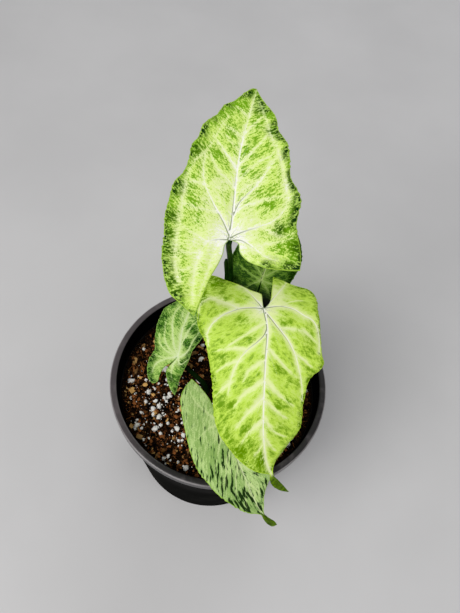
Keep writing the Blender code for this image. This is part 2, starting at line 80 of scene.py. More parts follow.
# A spine row is u, x, y, z, roll: millimetres and degrees. Outlines are pairs of u and v.
LEAVES = {
    "leaf_upright": {
        "spine": [(-34, -8, -25, 200, 0), (0, -5.4, 7.9, 212, 0), (36, -7, 42, 226, 0),
            (70, -4.5, 72.4, 234.4, 0)],
        "fold": (7, 7),
        "curl": (-0.3, 0.0),
        "wave": (0.5, 21, 0),
        "right_outer": [(-8.4, 17), (-8, 21), (-7.5, 25), (-7, 28.2), (-6.5, 30), (-5.6, 30), (-2, 29.3),
            (3.5, 27.5), (9, 26), (13.5, 26.5), (18, 27), (23, 24.8), (27, 22.3), (33.5, 21.2), (40, 19.9),
            (45, 18), (48, 15.6), (51, 13.4), (54.2, 12.4), (57.2, 10.9), (60.2, 8), (62, 6), (66.2, 2.4),
            (70, 0)],
        "right_inner": [(-8.4, 17), (-8, 13.5), (-7.3, 9.5), (-6, 7), (-4, 5), (-1, 3.9), (-0.2, 2.4),
            (0, 0)],
        "left_outer": [(-32.5, 6), (-31, 9), (-28.5, 13.9), (-27, 17), (-24, 19.6), (-18.5, 22.5),
            (-12, 24.8), (-4, 25.8), (5, 26.8), (13.5, 26), (20, 24.8), (24, 21.5), (31, 20), (35, 20),
            (39, 18), (43.5, 17.5), (48, 15), (51, 12.8), (54, 12.2), (57.6, 11), (60, 8.3), (63, 6.3),
            (67, 3.8), (69.6, 1.2), (70, 0)],
        "left_inner": [(-32.5, 6), (-23.5, 4.8), (-15.2, 3.5), (-11.2, 2.3), (-6.5, 1.3), (-2, 1.1),
            (0, 0)],
    },
    "leaf_front": {
        "spine": [(-24, 11, 29, 166, 0), (0, 14.8, 7.4, 166, 0), (9, 17.5, -0.2, 164.3, 0),
            (27, 19.3, -15.8, 158.2, 0), (45, 21.3, -30.7, 149.2, 0), (62, 24.4, -44.5, 137, 0),
            (78, 29.8, -54.8, 125.5, 0), (84, 33, -57, 122.5, -25), (98, 41.2, -60.8, 117, -45)],
        "fold": (-4, -4),
        "curl": (-0.5, -0.5),
        "wave": (0.5, 19, 0),
        "right_outer": [(-22.3, 23.5), (-20.5, 26.2), (-15, 27.8), (-8, 29.3), (-3, 31.2), (2.5, 31.5),
            (8, 31.2), (14.5, 30.3), (23, 27.5), (30, 25.6), (40.5, 23.6), (48.5, 23), (55, 21.8), (59, 20),
            (63.5, 16.9), (68.5, 13), (72.5, 9), (76, 5), (79, 1.8), (80.5, 0.8), (83, 2), (86.5, 3.2),
            (92, 2.6), (98, 0)],
        "right_inner": [(-22.3, 23.5), (-21, 21), (-18, 16.8), (-15, 11.5), (-12.6, 7.6), (-10.8, 5),
            (-9.4, 2), (-8.4, 0.3), (0, 0)],
        "left_outer": [(-20, 6), (-18, 11), (-16, 16.5), (-15.7, 22), (-13, 26.5), (-8.5, 28), (5, 27.4),
            (14, 26.6), (20.5, 27.2), (26.5, 28.5), (29.6, 26.9), (32.5, 23.6), (35.5, 21.6), (42.5, 20),
            (48, 19.3), (55, 19.3), (60, 18.4), (63.5, 16.3), (67, 13.3), (73, 8.4), (76.5, 4), (79, 1.6),
            (80.5, 0.8), (87, 0.6), (98, 0)],
        "left_inner": [(-20, 6), (-11.5, 5), (-5, 4), (-2.5, 3), (-0.8, 1.4), (0, 0)],
    },
    "leaf_side": {
        "spine": [(-20, -31, -11.3, 104, 0), (-10, -29, -3.6, 106, 0), (0, -24.6, 3.9, 108, 0),
            (18, -23.9, 21.8, 112, 0), (40, -21.2, 42.8, 110.7, 0)],
        "fold": (4, 4),
        "curl": (-0.6, -0.6),
        "wave": (0.5, 12, 1),
        "right_outer": [(-23.5, 10), (-18, 9.6), (-12, 9.2), (-6, 8.2), (0, 6.8), (5.5, 6.8), (10.5, 10),
            (16, 12.6), (24, 12.5), (31, 9.5), (36.5, 5), (40, 0)],
        "right_inner": [(-23.5, 10), (-21.5, 7), (-18.5, 4.4), (-14.5, 2), (-11, 0.3), (0, 0)],
        "left_outer": [(-22, 3.8), (-20.3, 6.4), (-13.5, 10.2), (-5, 12.4), (4.5, 14.6), (12, 14.8),
            (18, 14.7), (24, 13.8), (30, 10.8), (36, 5.8), (40, 0)],
        "left_inner": [(-22, 3.8), (-20, 1.8), (-15, 1.9), (-9, 1.6), (-5, 0.5), (0, 0)],
    },
    "leaf_low": {
        "spine": [(-28, -8, -9, 113, 0), (0, 5, -32, 114.5, 0), (28, 19, -53, 108, 0),
            (53, 32.2, -66.7, 92, 0), (57, 34.6, -68, 90, -20), (68, 41.2, -69.7, 86, -35)],
        "fold": (4, 4),
        "curl": (-0.3, -0.3),
        "wave": (0.3, 17, 2),
        "right_outer": [(-30.5, 6), (-26.4, 11.2), (-22, 14.6), (-15.6, 16.6), (-8, 18), (2, 19.4),
            (10, 20.3), (18.6, 19.7), (23.5, 18.2), (29.5, 16.5), (37.5, 12.3), (46.5, 6.2), (52, 1.6),
            (53.5, 0.9), (57, 1.5), (62, 2.1), (66.5, 1.5), (68, 0)],
        "right_inner": [(-30.5, 6), (-27.5, 4.6), (-23, 3), (-16, 1.2), (-8, 0.8), (0, 0)],
        "left_outer": [(-25, 6), (-22, 9.5), (-16, 13), (-8, 16), (0, 18), (10, 19.3), (20, 19), (30, 16.5),
            (36, 13.8), (41, 9.3), (45, 5.8), (50, 3), (53.5, 0.9), (58, 0.8), (65, 0.8), (68, 0)],
        "left_inner": [(-25, 6), (-18, 4.5), (-10, 2.5), (0, 0)],
    },
    "leaf_back": {
        "spine": [(-20, 10, 17, 147, 0), (0, 12.9, 33.5, 150, 0), (22, 17, 55, 154, 0),
            (44, 22, 76, 153, 0)],
        "fold": (3, 3),
        "curl": (-0.4, -0.4),
        "wave": (0.4, 15, 1),
        "right_outer": [(-18, 6), (-14.5, 10), (-11, 12), (-4, 14), (4, 14.5), (11, 16), (18, 16.3),
            (26, 13.5), (34, 9), (40, 4.3), (44, 0)],
        "right_inner": [(-18, 6), (-15, 3), (-10, 1.3), (-4, 0.6), (0, 0)],
        "left_outer": [(-16, 4.5), (-13, 8), (-11, 10.2), (-7, 13), (-3, 15.2), (0, 17.4), (4, 18.8),
            (9, 18.8), (16, 17.5), (24, 14.5), (32, 10), (39, 5), (44, 0)],
        "left_inner": [(-16, 4.5), (-13, 1.8), (-8, 0.5), (-3, 0.2), (0, 0)],
    },
}

# Veins as width in millimetres, reach of the pale band beside them, and their points as u and v.
VEINS = {
    "leaf_upright": [
        (0.9, 3.4, [(0, 0), (24, 0), (42, 0)]), (0.42, 1.7, [(40, 0), (56, 0)]),
        (0.3, 1.2, [(54, 0), (69.5, 0)]),
        (0.5, 3.0, [(0, 0.5), (0.5, 5), (-1.5, 10), (-4.2, 15), (-5, 20)]),
        (0.5, 3.0, [(0.5, 0), (3.5, 4.5), (6.5, 11), (9, 16), (13, 20), (18.5, 21.5)]),
        (0.25, 2.2, [(18.5, 21.5), (26, 19.8), (38, 16), (46, 11.5), (54.5, 7.5), (64, 2)]),
        (0.45, 2.6, [(8.5, 0), (15.5, 2.6), (20.5, 6.7), (25.5, 10.3), (31.5, 12.8), (37, 15.8)]),
        (0.35, 1.5, [(30, 0), (36, 4.2), (41, 7), (47, 10)]),
        (0.3, 1.6, [(45, 0), (50.5, 2.7), (54.5, 5), (56, 6.3)]),
        (0.3, 1.8, [(12, 2), (14.5, 6), (16.5, 11), (18.3, 16), (19, 21)]),
        (0.3, 1.4, [(22.5, 0), (28, 4), (32.5, 8), (38, 13.5), (41, 15)]),
        (0.25, 1.3, [(-1.5, 10), (0.5, 15), (2, 20), (4, 25)]),
        (0.25, 1.3, [(6.5, 11), (5, 16), (4, 21), (6, 25)]),
        (0.5, 3.0, [(0, -0.5), (-1, -5), (-3, -8.5), (-8, -10.2)]),
        (0.34, 2.8, [(-8, -10.2), (-13, -10.8), (-20, -10), (-28, -8)]),
        (0.35, 2.4, [(-3, -8.5), (-1, -12.5), (0.5, -17), (2, -20)]),
        (0.3, 1.7, [(-1.2, -4.5), (-8, -5.2), (-15.5, -5.6), (-24, -6.4)]),
        (0.3, 1.6, [(-8, -10.2), (-9, -14), (-9, -20)]),
        (0.25, 1.4, [(-14, -10.8), (-16, -14), (-18, -18)]),
        (0.5, 2.9, [(1.5, 0), (7.5, -3.8), (12, -7.3), (16.5, -10.3), (21, -12.8), (26, -13.8), (32, -14)]),
        (0.35, 2.1, [(10, -6.3), (10.5, -10), (10.5, -14.5), (12, -20.5)]),
        (0.3, 1.7, [(20.5, -12.6), (21, -16.5), (20.5, -20.5)]),
        (0.4, 1.6, [(28, 0), (32.5, -3.5), (35.5, -6.5), (38.5, -9.7), (40.5, -12)]),
        (0.35, 1.8, [(20, 0), (24, -3.8), (26.5, -7.3), (29.5, -9.7), (33, -11.8)]),
        (0.3, 1.6, [(43, 0), (45.5, -4), (46.5, -7.2), (48, -10.3)]),
        (0.25, 1.3, [(54, 0), (56.5, -3.2), (58, -6)]), (0.25, 1.3, [(36, 0), (39.5, -3.5), (42, -7)]),
        (0.2, 2.0, [(-21, -15.5), (-15, -18.5), (-8.5, -20), (0, -20.8), (6, -21), (12.5, -20.8),
                     (18, -20.4), (25, -19.3), (30, -17), (33, -14), (37.5, -12), (43.5, -10.5), (52, -8)]),
    ],
    "leaf_front": [
        (0.8, 2.2, [(0, 0), (30, 0), (60, 0)]), (0.4, 1.5, [(58, 0), (80, 0), (96, 0)]),
        (0.5, 2.0, [(1, 0), (10.5, -5.3), (16, -9.8), (22, -13.4), (30, -16), (37.5, -17.7), (45.5, -18.5)]),
        (0.55, 3.0, [(0, 0), (-0.7, -8.5), (1, -14), (5.5, -19.5), (8, -23.5), (11, -25), (20, -25.5)]),
        (0.5, 3.2, [(0, -0.8), (-7, -6.2), (-13.5, -10.3), (-17, -12.3)]),
        (0.3, 1.5, [(10.5, -5.3), (11, -12), (12, -17.5), (14, -22), (17, -25)]),
        (0.3, 1.4, [(22, -13.4), (24.5, -18), (28.5, -22.5)]),
        (0.3, 1.4, [(20, 0), (25.5, -6), (30.5, -11), (34, -15)]),
        (0.3, 1.7, [(35, 0), (40.5, -5), (44, -9), (48, -14)]),
        (0.3, 1.6, [(44, 0), (48, -4), (51.5, -8), (54, -12)]),
        (0.3, 1.5, [(52, 0), (57, -3.5), (61, -7.5), (63, -11)]),
        (0.25, 1.2, [(60, 0), (65, -2.6), (69, -5.5)]),
        (0.25, 1.2, [(-0.7, -8.5), (-4, -14), (-6, -20)]),
        (0.5, 1.9, [(0, 0.2), (-1, 5), (-1.4, 10), (-0.5, 15.5), (1, 20.5), (4, 25), (12, 28), (21, 27)]),
        (0.35, 1.8, [(-1.4, 11), (-4, 15.5), (-6, 19.5), (-8.3, 24.5), (-7, 28.5), (0, 31)]),
        (0.45, 1.8, [(10.5, 0), (13.5, 1), (17.5, 4), (22, 8.4), (27, 12), (31.5, 14), (37.5, 15.5),
                     (43, 16.4)]),
        (0.3, 1.5, [(22, 8.4), (21.8, 13), (22.5, 18.5), (24, 24)]),
        (0.3, 1.4, [(27.5, 12.3), (29.5, 17), (33, 21.8)]),
        (0.3, 1.4, [(37.5, 15.5), (41, 19), (44, 22)]),
        (0.3, 1.6, [(26, 0), (29, 4.3), (32.5, 7.7), (37, 9.5)]),
        (0.3, 1.8, [(36, 0), (39.5, 5), (43, 9.5), (48, 13)]),
        (0.35, 2.0, [(43.5, 0), (48, 4.3), (52, 8.2), (56, 12)]),
        (0.3, 1.6, [(53.5, 0), (56, 3.5), (59, 7), (62.5, 10)]),
        (0.25, 1.3, [(64, 0), (68.5, 4.8)]),
        (0.3, 1.6, [(7.5, 0), (10.5, 5.5), (14.5, 10.5), (19, 15.5), (22, 19)]),
        (0.45, 2.0, [(-0.5, 0.2), (-5.5, 3.2), (-10.5, 6.8), (-15, 11)]),
    ],
    "leaf_side": [
        (0.42, 1.5, [(0, 0), (11, -0.8), (18, -0.4), (26, 0.3), (39, 0)]),
        (0.3, 1.0, [(-1, 0.3), (-5, 1), (-9.5, 2.8), (-15, 5.5)]),
        (0.3, 0.9, [(0, 0.4), (-3, 3.8), (1, 6), (6, 8)]),
        (0.35, 1.1, [(0, -0.3), (-5, -4.2), (-10.5, -6.6), (-16, -6.4)]),
        (0.3, 1.0, [(0, -1), (1, -8.5), (5, -11.5), (11, -12.8)]),
        (0.3, 1.0, [(0, -0.5), (3.5, -6.5), (8, -9), (12, -10), (18, -10.4)]),
        (0.35, 1.1, [(0.5, -0.4), (6.5, -4), (12.5, -5.6), (19, -7), (24, -7.2), (29, -6)]),
        (0.3, 1.0, [(7.5, 0), (14, 2.5), (21, 5.5), (26, 7)]),
        (0.35, 1.0, [(0, 0.5), (2.5, 3), (9.5, 6), (15.5, 9)]),
        (0.2, 0.8, [(18, -0.4), (23, -2.6), (28, -3.6)]), (0.2, 0.8, [(-3, -3), (-6, -8), (-7, -12)]),
    ],
    "leaf_low": [
        (0.45, 1.0, [(0, 0), (30, 0), (52, 0), (66, 0)]),
        (0.25, 0.8, [(0, 0.2), (-8, 5), (-16, 8.5), (-24, 9.5)]),
        (0.25, 0.8, [(0, -0.2), (-8, -6), (-16, -8.5), (-22, -8)]),
        (0.25, 0.8, [(0, 0.3), (0, 7), (3, 14)]), (0.25, 0.8, [(0, -0.3), (0, -7), (4, -14)]),
        (0.2, 0.7, [(3, 0), (10, 5.5), (17, 10), (24, 14)]),
        (0.2, 0.7, [(3, 0), (10, -5.5), (17, -10), (24, -13)]),
        (0.2, 0.7, [(12, 0), (19, 5), (27, 9.5), (33, 12)]),
        (0.2, 0.7, [(12, 0), (19, -5), (27, -9.5), (32, -11.5)]),
        (0.2, 0.7, [(22, 0), (29, 4.5), (37, 8.5)]), (0.2, 0.7, [(22, 0), (29, -4.5), (36, -8)]),
        (0.2, 0.7, [(32, 0), (38, 3), (44, 5.2)]), (0.2, 0.7, [(32, 0), (38, -2.6), (43, -4.4)]),
    ],
    "leaf_back": [
        (0.5, 1.6, [(0, 0), (22, 0), (43, 0)]),
        (0.35, 1.3, [(0, 0.2), (-5, 5), (-12, 8.8)]), (0.35, 1.3, [(0, -0.2), (-5, -5), (-11, -8)]),
        (0.35, 1.4, [(0, 0.3), (0, 6), (4, 12)]), (0.35, 1.4, [(0, -0.3), (2, -7), (5, -14)]),
        (0.35, 1.4, [(2, 0), (8, 5.5), (14, 10), (20, 13)]),
        (0.35, 1.4, [(2, 0), (8, -6), (14, -11.5), (19, -14.5)]),
        (0.3, 1.2, [(11, 0), (18, 4.5), (25, 8.5), (29, 10)]),
        (0.3, 1.2, [(11, 0), (18, -5), (25, -9.5), (28, -11)]),
        (0.3, 1.1, [(20, 0), (27, 3.6), (34, 6.5)]), (0.3, 1.1, [(20, 0), (27, -4), (34, -7)]),
    ],
}

# A petiole runs from its foot in the mix, at an angle round the stem, through these points to
# its leaf's joint.
PETIOLES = {
    "petiole_upright": {"leaf": "leaf_upright", "angle": 122,
                        "through": [(-3.3, 17, 118), (-2.8, 29.5, 153), (-3.7, 24.6, 171),
                                    (-4.5, 18.8, 187)]},
    "petiole_front": {"leaf": "leaf_front", "angle": 12, "through": [(11, 6, 118), (16, 13, 150)]},
    "petiole_side": {"leaf": "leaf_side", "angle": 215, "through": [(-8, -2.2, 92), (-16, 1.4, 97.5)]},
    "petiole_low": {"leaf": "leaf_low", "angle": 300, "through": [(5, -12, 97), (6, -24, 106)]},
    "petiole_back": {"leaf": "leaf_back", "angle": 64,
                     "through": [(6.3, 11.5, 108), (10, 22.5, 127), (12.3, 30.8, 139)]},
}


# Shape of the leaves


def hermite(keys, rows, at):
    """Smooth curve through the rows, read at the values at, straight beyond both ends."""
    keys, rows, at = np.asarray(keys, float), np.asarray(rows, float), np.asarray(at, float)
    slopes = np.gradient(rows, keys, axis=0)
    i = np.clip(np.searchsorted(keys, at) - 1, 0, len(keys) - 2)
    step = (keys[i + 1] - keys[i])[:, None]
    share = (at - keys[i])[:, None] / step
    t = np.clip(share, 0, 1)
    start, end = slopes[i] * step, slopes[i + 1] * step
    value = (2 * t**3 - 3 * t**2 + 1) * rows[i] + (t**3 - 2 * t**2 + t) * start
    value += (3 * t**2 - 2 * t**3) * rows[i + 1] + (t**3 - t**2) * end
    return value + (share - t) * np.where(t < 0.5, start, end)


def spine_frame(leaf, u):
    """Point, side and normal directions on the leaf's spine at each u, in millimetres."""
    rows = np.array(leaf["spine"], float)
    place = lambda at: hermite(rows[:, 0], rows[:, 1:4], at)
    along = place(u + SPINE_SPAN) - place(u - SPINE_SPAN)
    along /= np.linalg.norm(along, axis=1, keepdims=True)
    side = np.cross(along, (0, 0, 1))
    side /= np.linalg.norm(side, axis=1, keepdims=True)
    up = np.cross(side, along)
    roll = np.radians(np.interp(u, rows[:, 0], rows[:, 4]))[:, None]
    side = np.cos(roll) * side + np.sin(roll) * up
    return place(u), side, np.cross(side, along)


def leaf_point(leaf, u, v, edge):
    """The blade's middle surface at u, v, and the blade's normal there."""
    right = v >= 0
    place, side, normal = spine_frame(leaf, u)
    fold = np.radians(np.where(right, leaf["fold"][0], leaf["fold"][1]))
    curl = np.radians(np.where(right, leaf["curl"][0], leaf["curl"][1]) + TINY)
    width = np.abs(v)
    turn = fold + curl * width
    across = (np.sin(turn) - np.sin(fold)) / curl
    lift = (np.cos(fold) - np.cos(turn)) / curl
    height, length, phase = leaf["wave"]
    lift = lift + height * edge**3 * np.sin(2 * math.pi * u / length + phase + 1.7 * right)
    sign = np.where(right, 1, -1)
    point = place + side * (sign * across)[:, None] + normal * lift[:, None]
    facing = normal * np.cos(turn)[:, None] - side * (sign * np.sin(turn))[:, None]
    return point, facing


def smooth_line(points, count=240):
    """A finely cut smooth curve through a table's points."""
    points = np.array(points, float)
    keys = np.concatenate([[0], np.cumsum(np.linalg.norm(np.diff(points, axis=0), axis=1))])
    return hermite(keys, points, np.linspace(0, keys[-1], count))


def margin_at(line, u):
    """The outline's v at each u. The outline runs one way in u, so it is read as a function of it."""
    order = np.maximum.accumulate(line[:, 0])
    return np.interp(u, order, np.maximum(line[:, 1], 0))


def distance_to(points, line, shadow=(0, 1)):
    """Distance from each u, v point to a polyline, its side of the line as 1 or -1, how far along the line
    the nearest spot is, 0 to 1, and how squarely the side called 1 faces the shadow, -1 to 1."""
    best = np.full(len(points), 1e9)
    side, share, dim = np.ones(len(points)), np.zeros(len(points)), np.zeros(len(points))
    count = len(line) - 1
    for i, (a, b) in enumerate(zip(line[:-1], line[1:])):
        run = b - a
        t = np.clip((points - a) @ run / max(run @ run, 1e-9), 0, 1)
        away = np.linalg.norm(points - a - t[:, None] * run, axis=1)
        near = away < best
        best = np.where(near, away, best)
        turn = run[0] * (points[:, 1] - a[1]) - run[1] * (points[:, 0] - a[0])
        side = np.where(near, np.where(turn < 0, -1, 1), side)
        share = np.where(near, (i + t) / count, share)
        dim = np.where(near, (run[0] * shadow[1] - run[1] * shadow[0]) / max(np.hypot(*run), 1e-9), dim)
    return best, side, share, dim


def leaf_sheet(leaf):
    """The blade's u, v and edge share at each point of a fine grid, and its faces, both halves merged."""
    us, vs, edges, faces = [], [], [], []
    for name, sign in (("right", 1), ("left", -1)):
        outer, inner = smooth_line(leaf[name + "_outer"]), smooth_line(leaf[name + "_inner"])
        lobe, tip = outer[0, 0], outer[-1, 0]
        low = np.linspace(lobe, 0, max(8, round(-lobe / LEAF_STEP)))
        high = np.linspace(0, tip, round(tip / LEAF_STEP))[1:]
        rows = np.concatenate([low, high])
        columns = round(max(outer[:, 1]) / LEAF_STEP)
        out = margin_at(outer, rows)
        start = np.where(rows < 0, margin_at(inner, rows), 0)
        ripple = np.array([noise.noise((0.8 * a, sign, 5.0)) for a in rows])
        out += MARGIN_RIPPLE * ripple * np.clip(out / 8, 0, 1)
        out[0] = start[0] = outer[0, 1]
        out = np.maximum(out, start)
        out[-1] = 0
        share = np.linspace(0, 1, columns + 1)
        v = sign * (start[:, None] + (out - start)[:, None] * share)
        base = sum(len(part) for part in us)
        us.append(np.repeat(rows, columns + 1))
        vs.append(v.ravel())
        edges.append(np.tile(share, len(rows)))
        i = np.arange(len(rows) - 1)[:, None] * (columns + 1) + np.arange(columns)
        quad = np.stack([i, i + 1, i + columns + 2, i + columns + 1], axis=-1).reshape(-1, 4) + base
        faces.append(quad if sign > 0 else quad[:, ::-1])
    u, v, edge = map(np.concatenate, (us, vs, edges))
    half = np.where((u >= -TINY) & (np.abs(v) < TINY), 0, np.where(v >= 0, 1, 2))
    half = np.where(u < -TINY, np.repeat([1, 2], [len(us[0]), len(us[1])]), half)
    keys = np.round(np.stack([u, v, half], axis=1), 3)
    _, first, merged = np.unique(keys, axis=0, return_index=True, return_inverse=True)
    faces = merged.ravel()[np.concatenate(faces)]
    return u[first], v[first], edge[first], faces


def clean_faces(faces):
    """Face lists without repeated corners; faces that shrink to a line are left out."""
    kept = (list(dict.fromkeys(face)) for face in faces.tolist())
    return [face for face in kept if len(face) > 2]


def streak_coordinates(u, v, angle, stretch):
    """Noise coordinates drawn out along one direction, an angle away from the midrib on both halves."""
    turn = math.radians(angle)
    along = u * math.cos(turn) + np.abs(v) * math.sin(turn)
    across = np.abs(v) * math.cos(turn) - u * math.sin(turn)
    return np.stack([along * stretch, across, np.where(v > 0, 9.0, 0.0)], axis=1)


def soft_spots(u, v, spots):
    """Soft round spots, 1 in the middle of each. A spot off the midrib stays on its own half."""
    field = np.zeros(len(u))
    for at_u, at_v, radius in spots:
        spot = np.exp(-((np.hypot(u - at_u, v - at_v) / radius) ** 2)) * (at_v * v >= 0)
        field = np.maximum(field, spot)
    return field


def vein_fields(name, spots):
    """What the veins give to each u, v point of the blade: values for its finish by name, the distance
    to the nearest vein, and the height of the ribs on the underside."""
    look, count = LEAF_LOOKS[name], len(spots)
    fields = {label: np.full(count, value) for label, value in NO_VEIN.items()}
    nearest, rib = np.full(count, NO_VEIN["offset"]), np.zeros(count)
    for width, reach, points in VEINS[name]:
        away, side, share, dim = distance_to(spots, smooth_line(points, 8 * len(points)), look["shadow"])
        main, taper = width > MAIN_VEIN, 1 - 0.55 * share
        own = {
            "offset": away * side,
            "half": 0.5 * width * taper,
            "line": np.clip(1.15 - (1.5 if main else 2.2) * share, 0, 1) * (width > LINED_VEIN),
            "tilt": dim,
            "shine": np.clip(2.6 * width - 0.45, 0.15, 1) * (1 - look["fade"] * share * (not main)),
        }
        for label, values in own.items():
            fields[label] = np.where(away < nearest, values, fields[label])
        nearest = np.minimum(nearest, away)
        strength = min(1.0, 0.5 + 1.1 * width) * (1.15 - 0.5 * share)
        glow = strength * np.exp(-((away / (reach * look["reach"] * taper)) ** 1.4))
        fields["band"] = np.maximum(fields["band"], glow)
        rib = np.maximum(rib, width * taper * np.exp(-((away / (0.8 * width)) ** 2)))
    return fields, nearest, rib


def margin_distances(leaf, spots):
    """Distance from each point to the outline of its half, and to the outer side of it alone."""
    margin, outer = np.full(len(spots), 99.0), np.full(len(spots), 99.0)
    for half, sign in (("right", 1), ("left", -1)):
        own = spots[:, 1] * sign >= -TINY
        for kind in ("outer", "inner"):
            away = distance_to(spots, smooth_line(leaf[f"{half}_{kind}"], 160) * (1, sign))[0]
            margin = np.where(own, np.minimum(margin, away), margin)
            if kind == "outer":
                outer = np.where(own, away, outer)
    return margin, outer


def build_leaf(name, material):
    """A blade that swells between its veins and has ribs below, with the values that its finish reads."""
    leaf, look = LEAVES[name], LEAF_LOOKS[name]
    u, v, edge, faces = leaf_sheet(leaf)
    spots, count = np.stack([u, v], axis=1), len(u)
    fields, nearest, rib = vein_fields(name, spots)
    heart, pale = soft_spots(u, v, [(0, 0, look["heart"])]), soft_spots(u, v, look["pale"])
    fields["band"] = np.maximum(fields["band"], np.maximum(1.3 * heart, 0.75 * pale))
    fields["margin"], fields["outer"] = margin_distances(leaf, spots)
    fields["shade"], fields["blotch"] = (soft_spots(u, v, look[kind]) for kind in ("shade", "blotch"))
    fields["lobe"] = np.clip((look["turn"] - u) / LOBE_BLEND, 0, 1)
    fields["along"] = u / max(u)
    middle, facing = leaf_point(leaf, u, np.where(np.abs(v) < TINY, TINY, v), edge)
    inside = np.clip(fields["margin"] / 2.5, 0, 1)
    quilt = look["quilt"] * (1 - np.exp(-((nearest / 2.2) ** 1.6))) * inside
    crumple = 0.35 * np.array([noise.noise((a * 0.16, b * 0.16, 3.0)) for a, b in spots])
    middle = middle + facing * (quilt + crumple * np.maximum(inside, 0.25))[:, None]
    thick = LEAF_THICKNESS * np.clip(0.55 + fields["margin"] / 4, 0.55, 1)
    top = middle + facing * (thick / 2)[:, None]
    below = middle - facing * (thick / 2 + 0.75 * rib * inside)[:, None]
    upper = clean_faces(faces)
    lower = [[i + count for i in face[::-1]] for face in upper]
    sides = {(a, b) for face in upper for a, b in zip(face, face[1:] + face[:1])}
    rim = [[b, a, a + count, b + count] for a, b in sorted(sides) if (b, a) not in sides]
    obj = make_piece(name + "_blade", np.concatenate([top, below]), upper + lower + rim, material)
    for label, values in fields.items():
        add_attribute(obj.data, label, np.tile(values, 2))
    add_attribute(obj.data, "under", np.repeat([0.0, 1.0], count))
    for label, angle in zip(("streak", "lobe_streak"), look["slant"]):
        drawn = streak_coordinates(u, v, angle, look["stretch"])
        add_attribute(obj.data, label, np.tile(drawn, (2, 1)))
    add_attribute(obj.data, "blade", np.tile(np.stack([u, v, np.zeros(count)], axis=1), (2, 1)))
    dress(obj, name)


# Objects


def new_object(name, data):
    obj = bpy.data.objects.new(name, data)
    bpy.context.scene.collection.objects.link(obj)
    return obj


def make_piece(name, places, faces, material, smooth=True):
    """A mesh object from its points in millimetres and its faces."""
    mesh = bpy.data.meshes.new(name)
    mesh.from_pydata((np.array(places, float) * MM).tolist(), [], faces)
    mesh.update()
    if smooth:
        mesh.shade_smooth()
    mesh.materials.append(material)
    return new_object(name, mesh)


def add_attribute(mesh, name, values):
    """A number or a vector for each point of the mesh, which the finish reads by its name."""
    values = np.asarray(values, dtype=np.float32)
    kind, key = ("FLOAT_VECTOR", "vector") if values.ndim == 2 else ("FLOAT", "value")
    mesh.attributes.new(name, kind, "POINT").data.foreach_set(key, values.ravel())


def dress(obj, node=None):
    """The piece hides the CAD node that it stands for, if any, and rides on the one body."""
    if node:
        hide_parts(node)
    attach(obj, "root")


def ring_faces(rings, sides, first=0, flip=False):
    """Faces between each ring of points and the next one. flip turns them to the other side."""
    faces = []
    for start in range(first, first + (rings - 1) * sides, sides):
        for k in range(sides):
            a, b = start + k, start + (k + 1) % sides
            faces.append([a, a + sides, b + sides, b] if flip else [a, b, b + sides, a + sides])
    return faces


def circle(sides, turn=0.0):
    """The corners of a regular polygon on the unit circle, turned by a share of one side."""
    angles = [2 * math.pi * (k + turn) / sides for k in range(sides)]
    return [(math.cos(angle), math.sin(angle)) for angle in angles]


# Materials


def colour(red, green, blue):
    """Linear colour from the 0 to 255 values of a screen colour."""
    return (*(((c / 255 + 0.055) / 1.055) ** 2.4 if c > 10 else c / 255 / 12.92
              for c in (red, green, blue)), 1.0)


class Value:
    """An output of a node. Plain arithmetic with it adds a Math node."""

    def __init__(self, finish, socket):
        self.finish, self.socket = finish, socket

    def __add__(self, other):
        return self.finish.calc("ADD", self, other)

    def __sub__(self, other):
        return self.finish.calc("SUBTRACT", self, other)

    def __rsub__(self, other):
        return self.finish.calc("SUBTRACT", other, self)

    def __mul__(self, other):
        return self.finish.calc("MULTIPLY", self, other)

    def __truediv__(self, other):
        return self.finish.calc("DIVIDE", self, other)


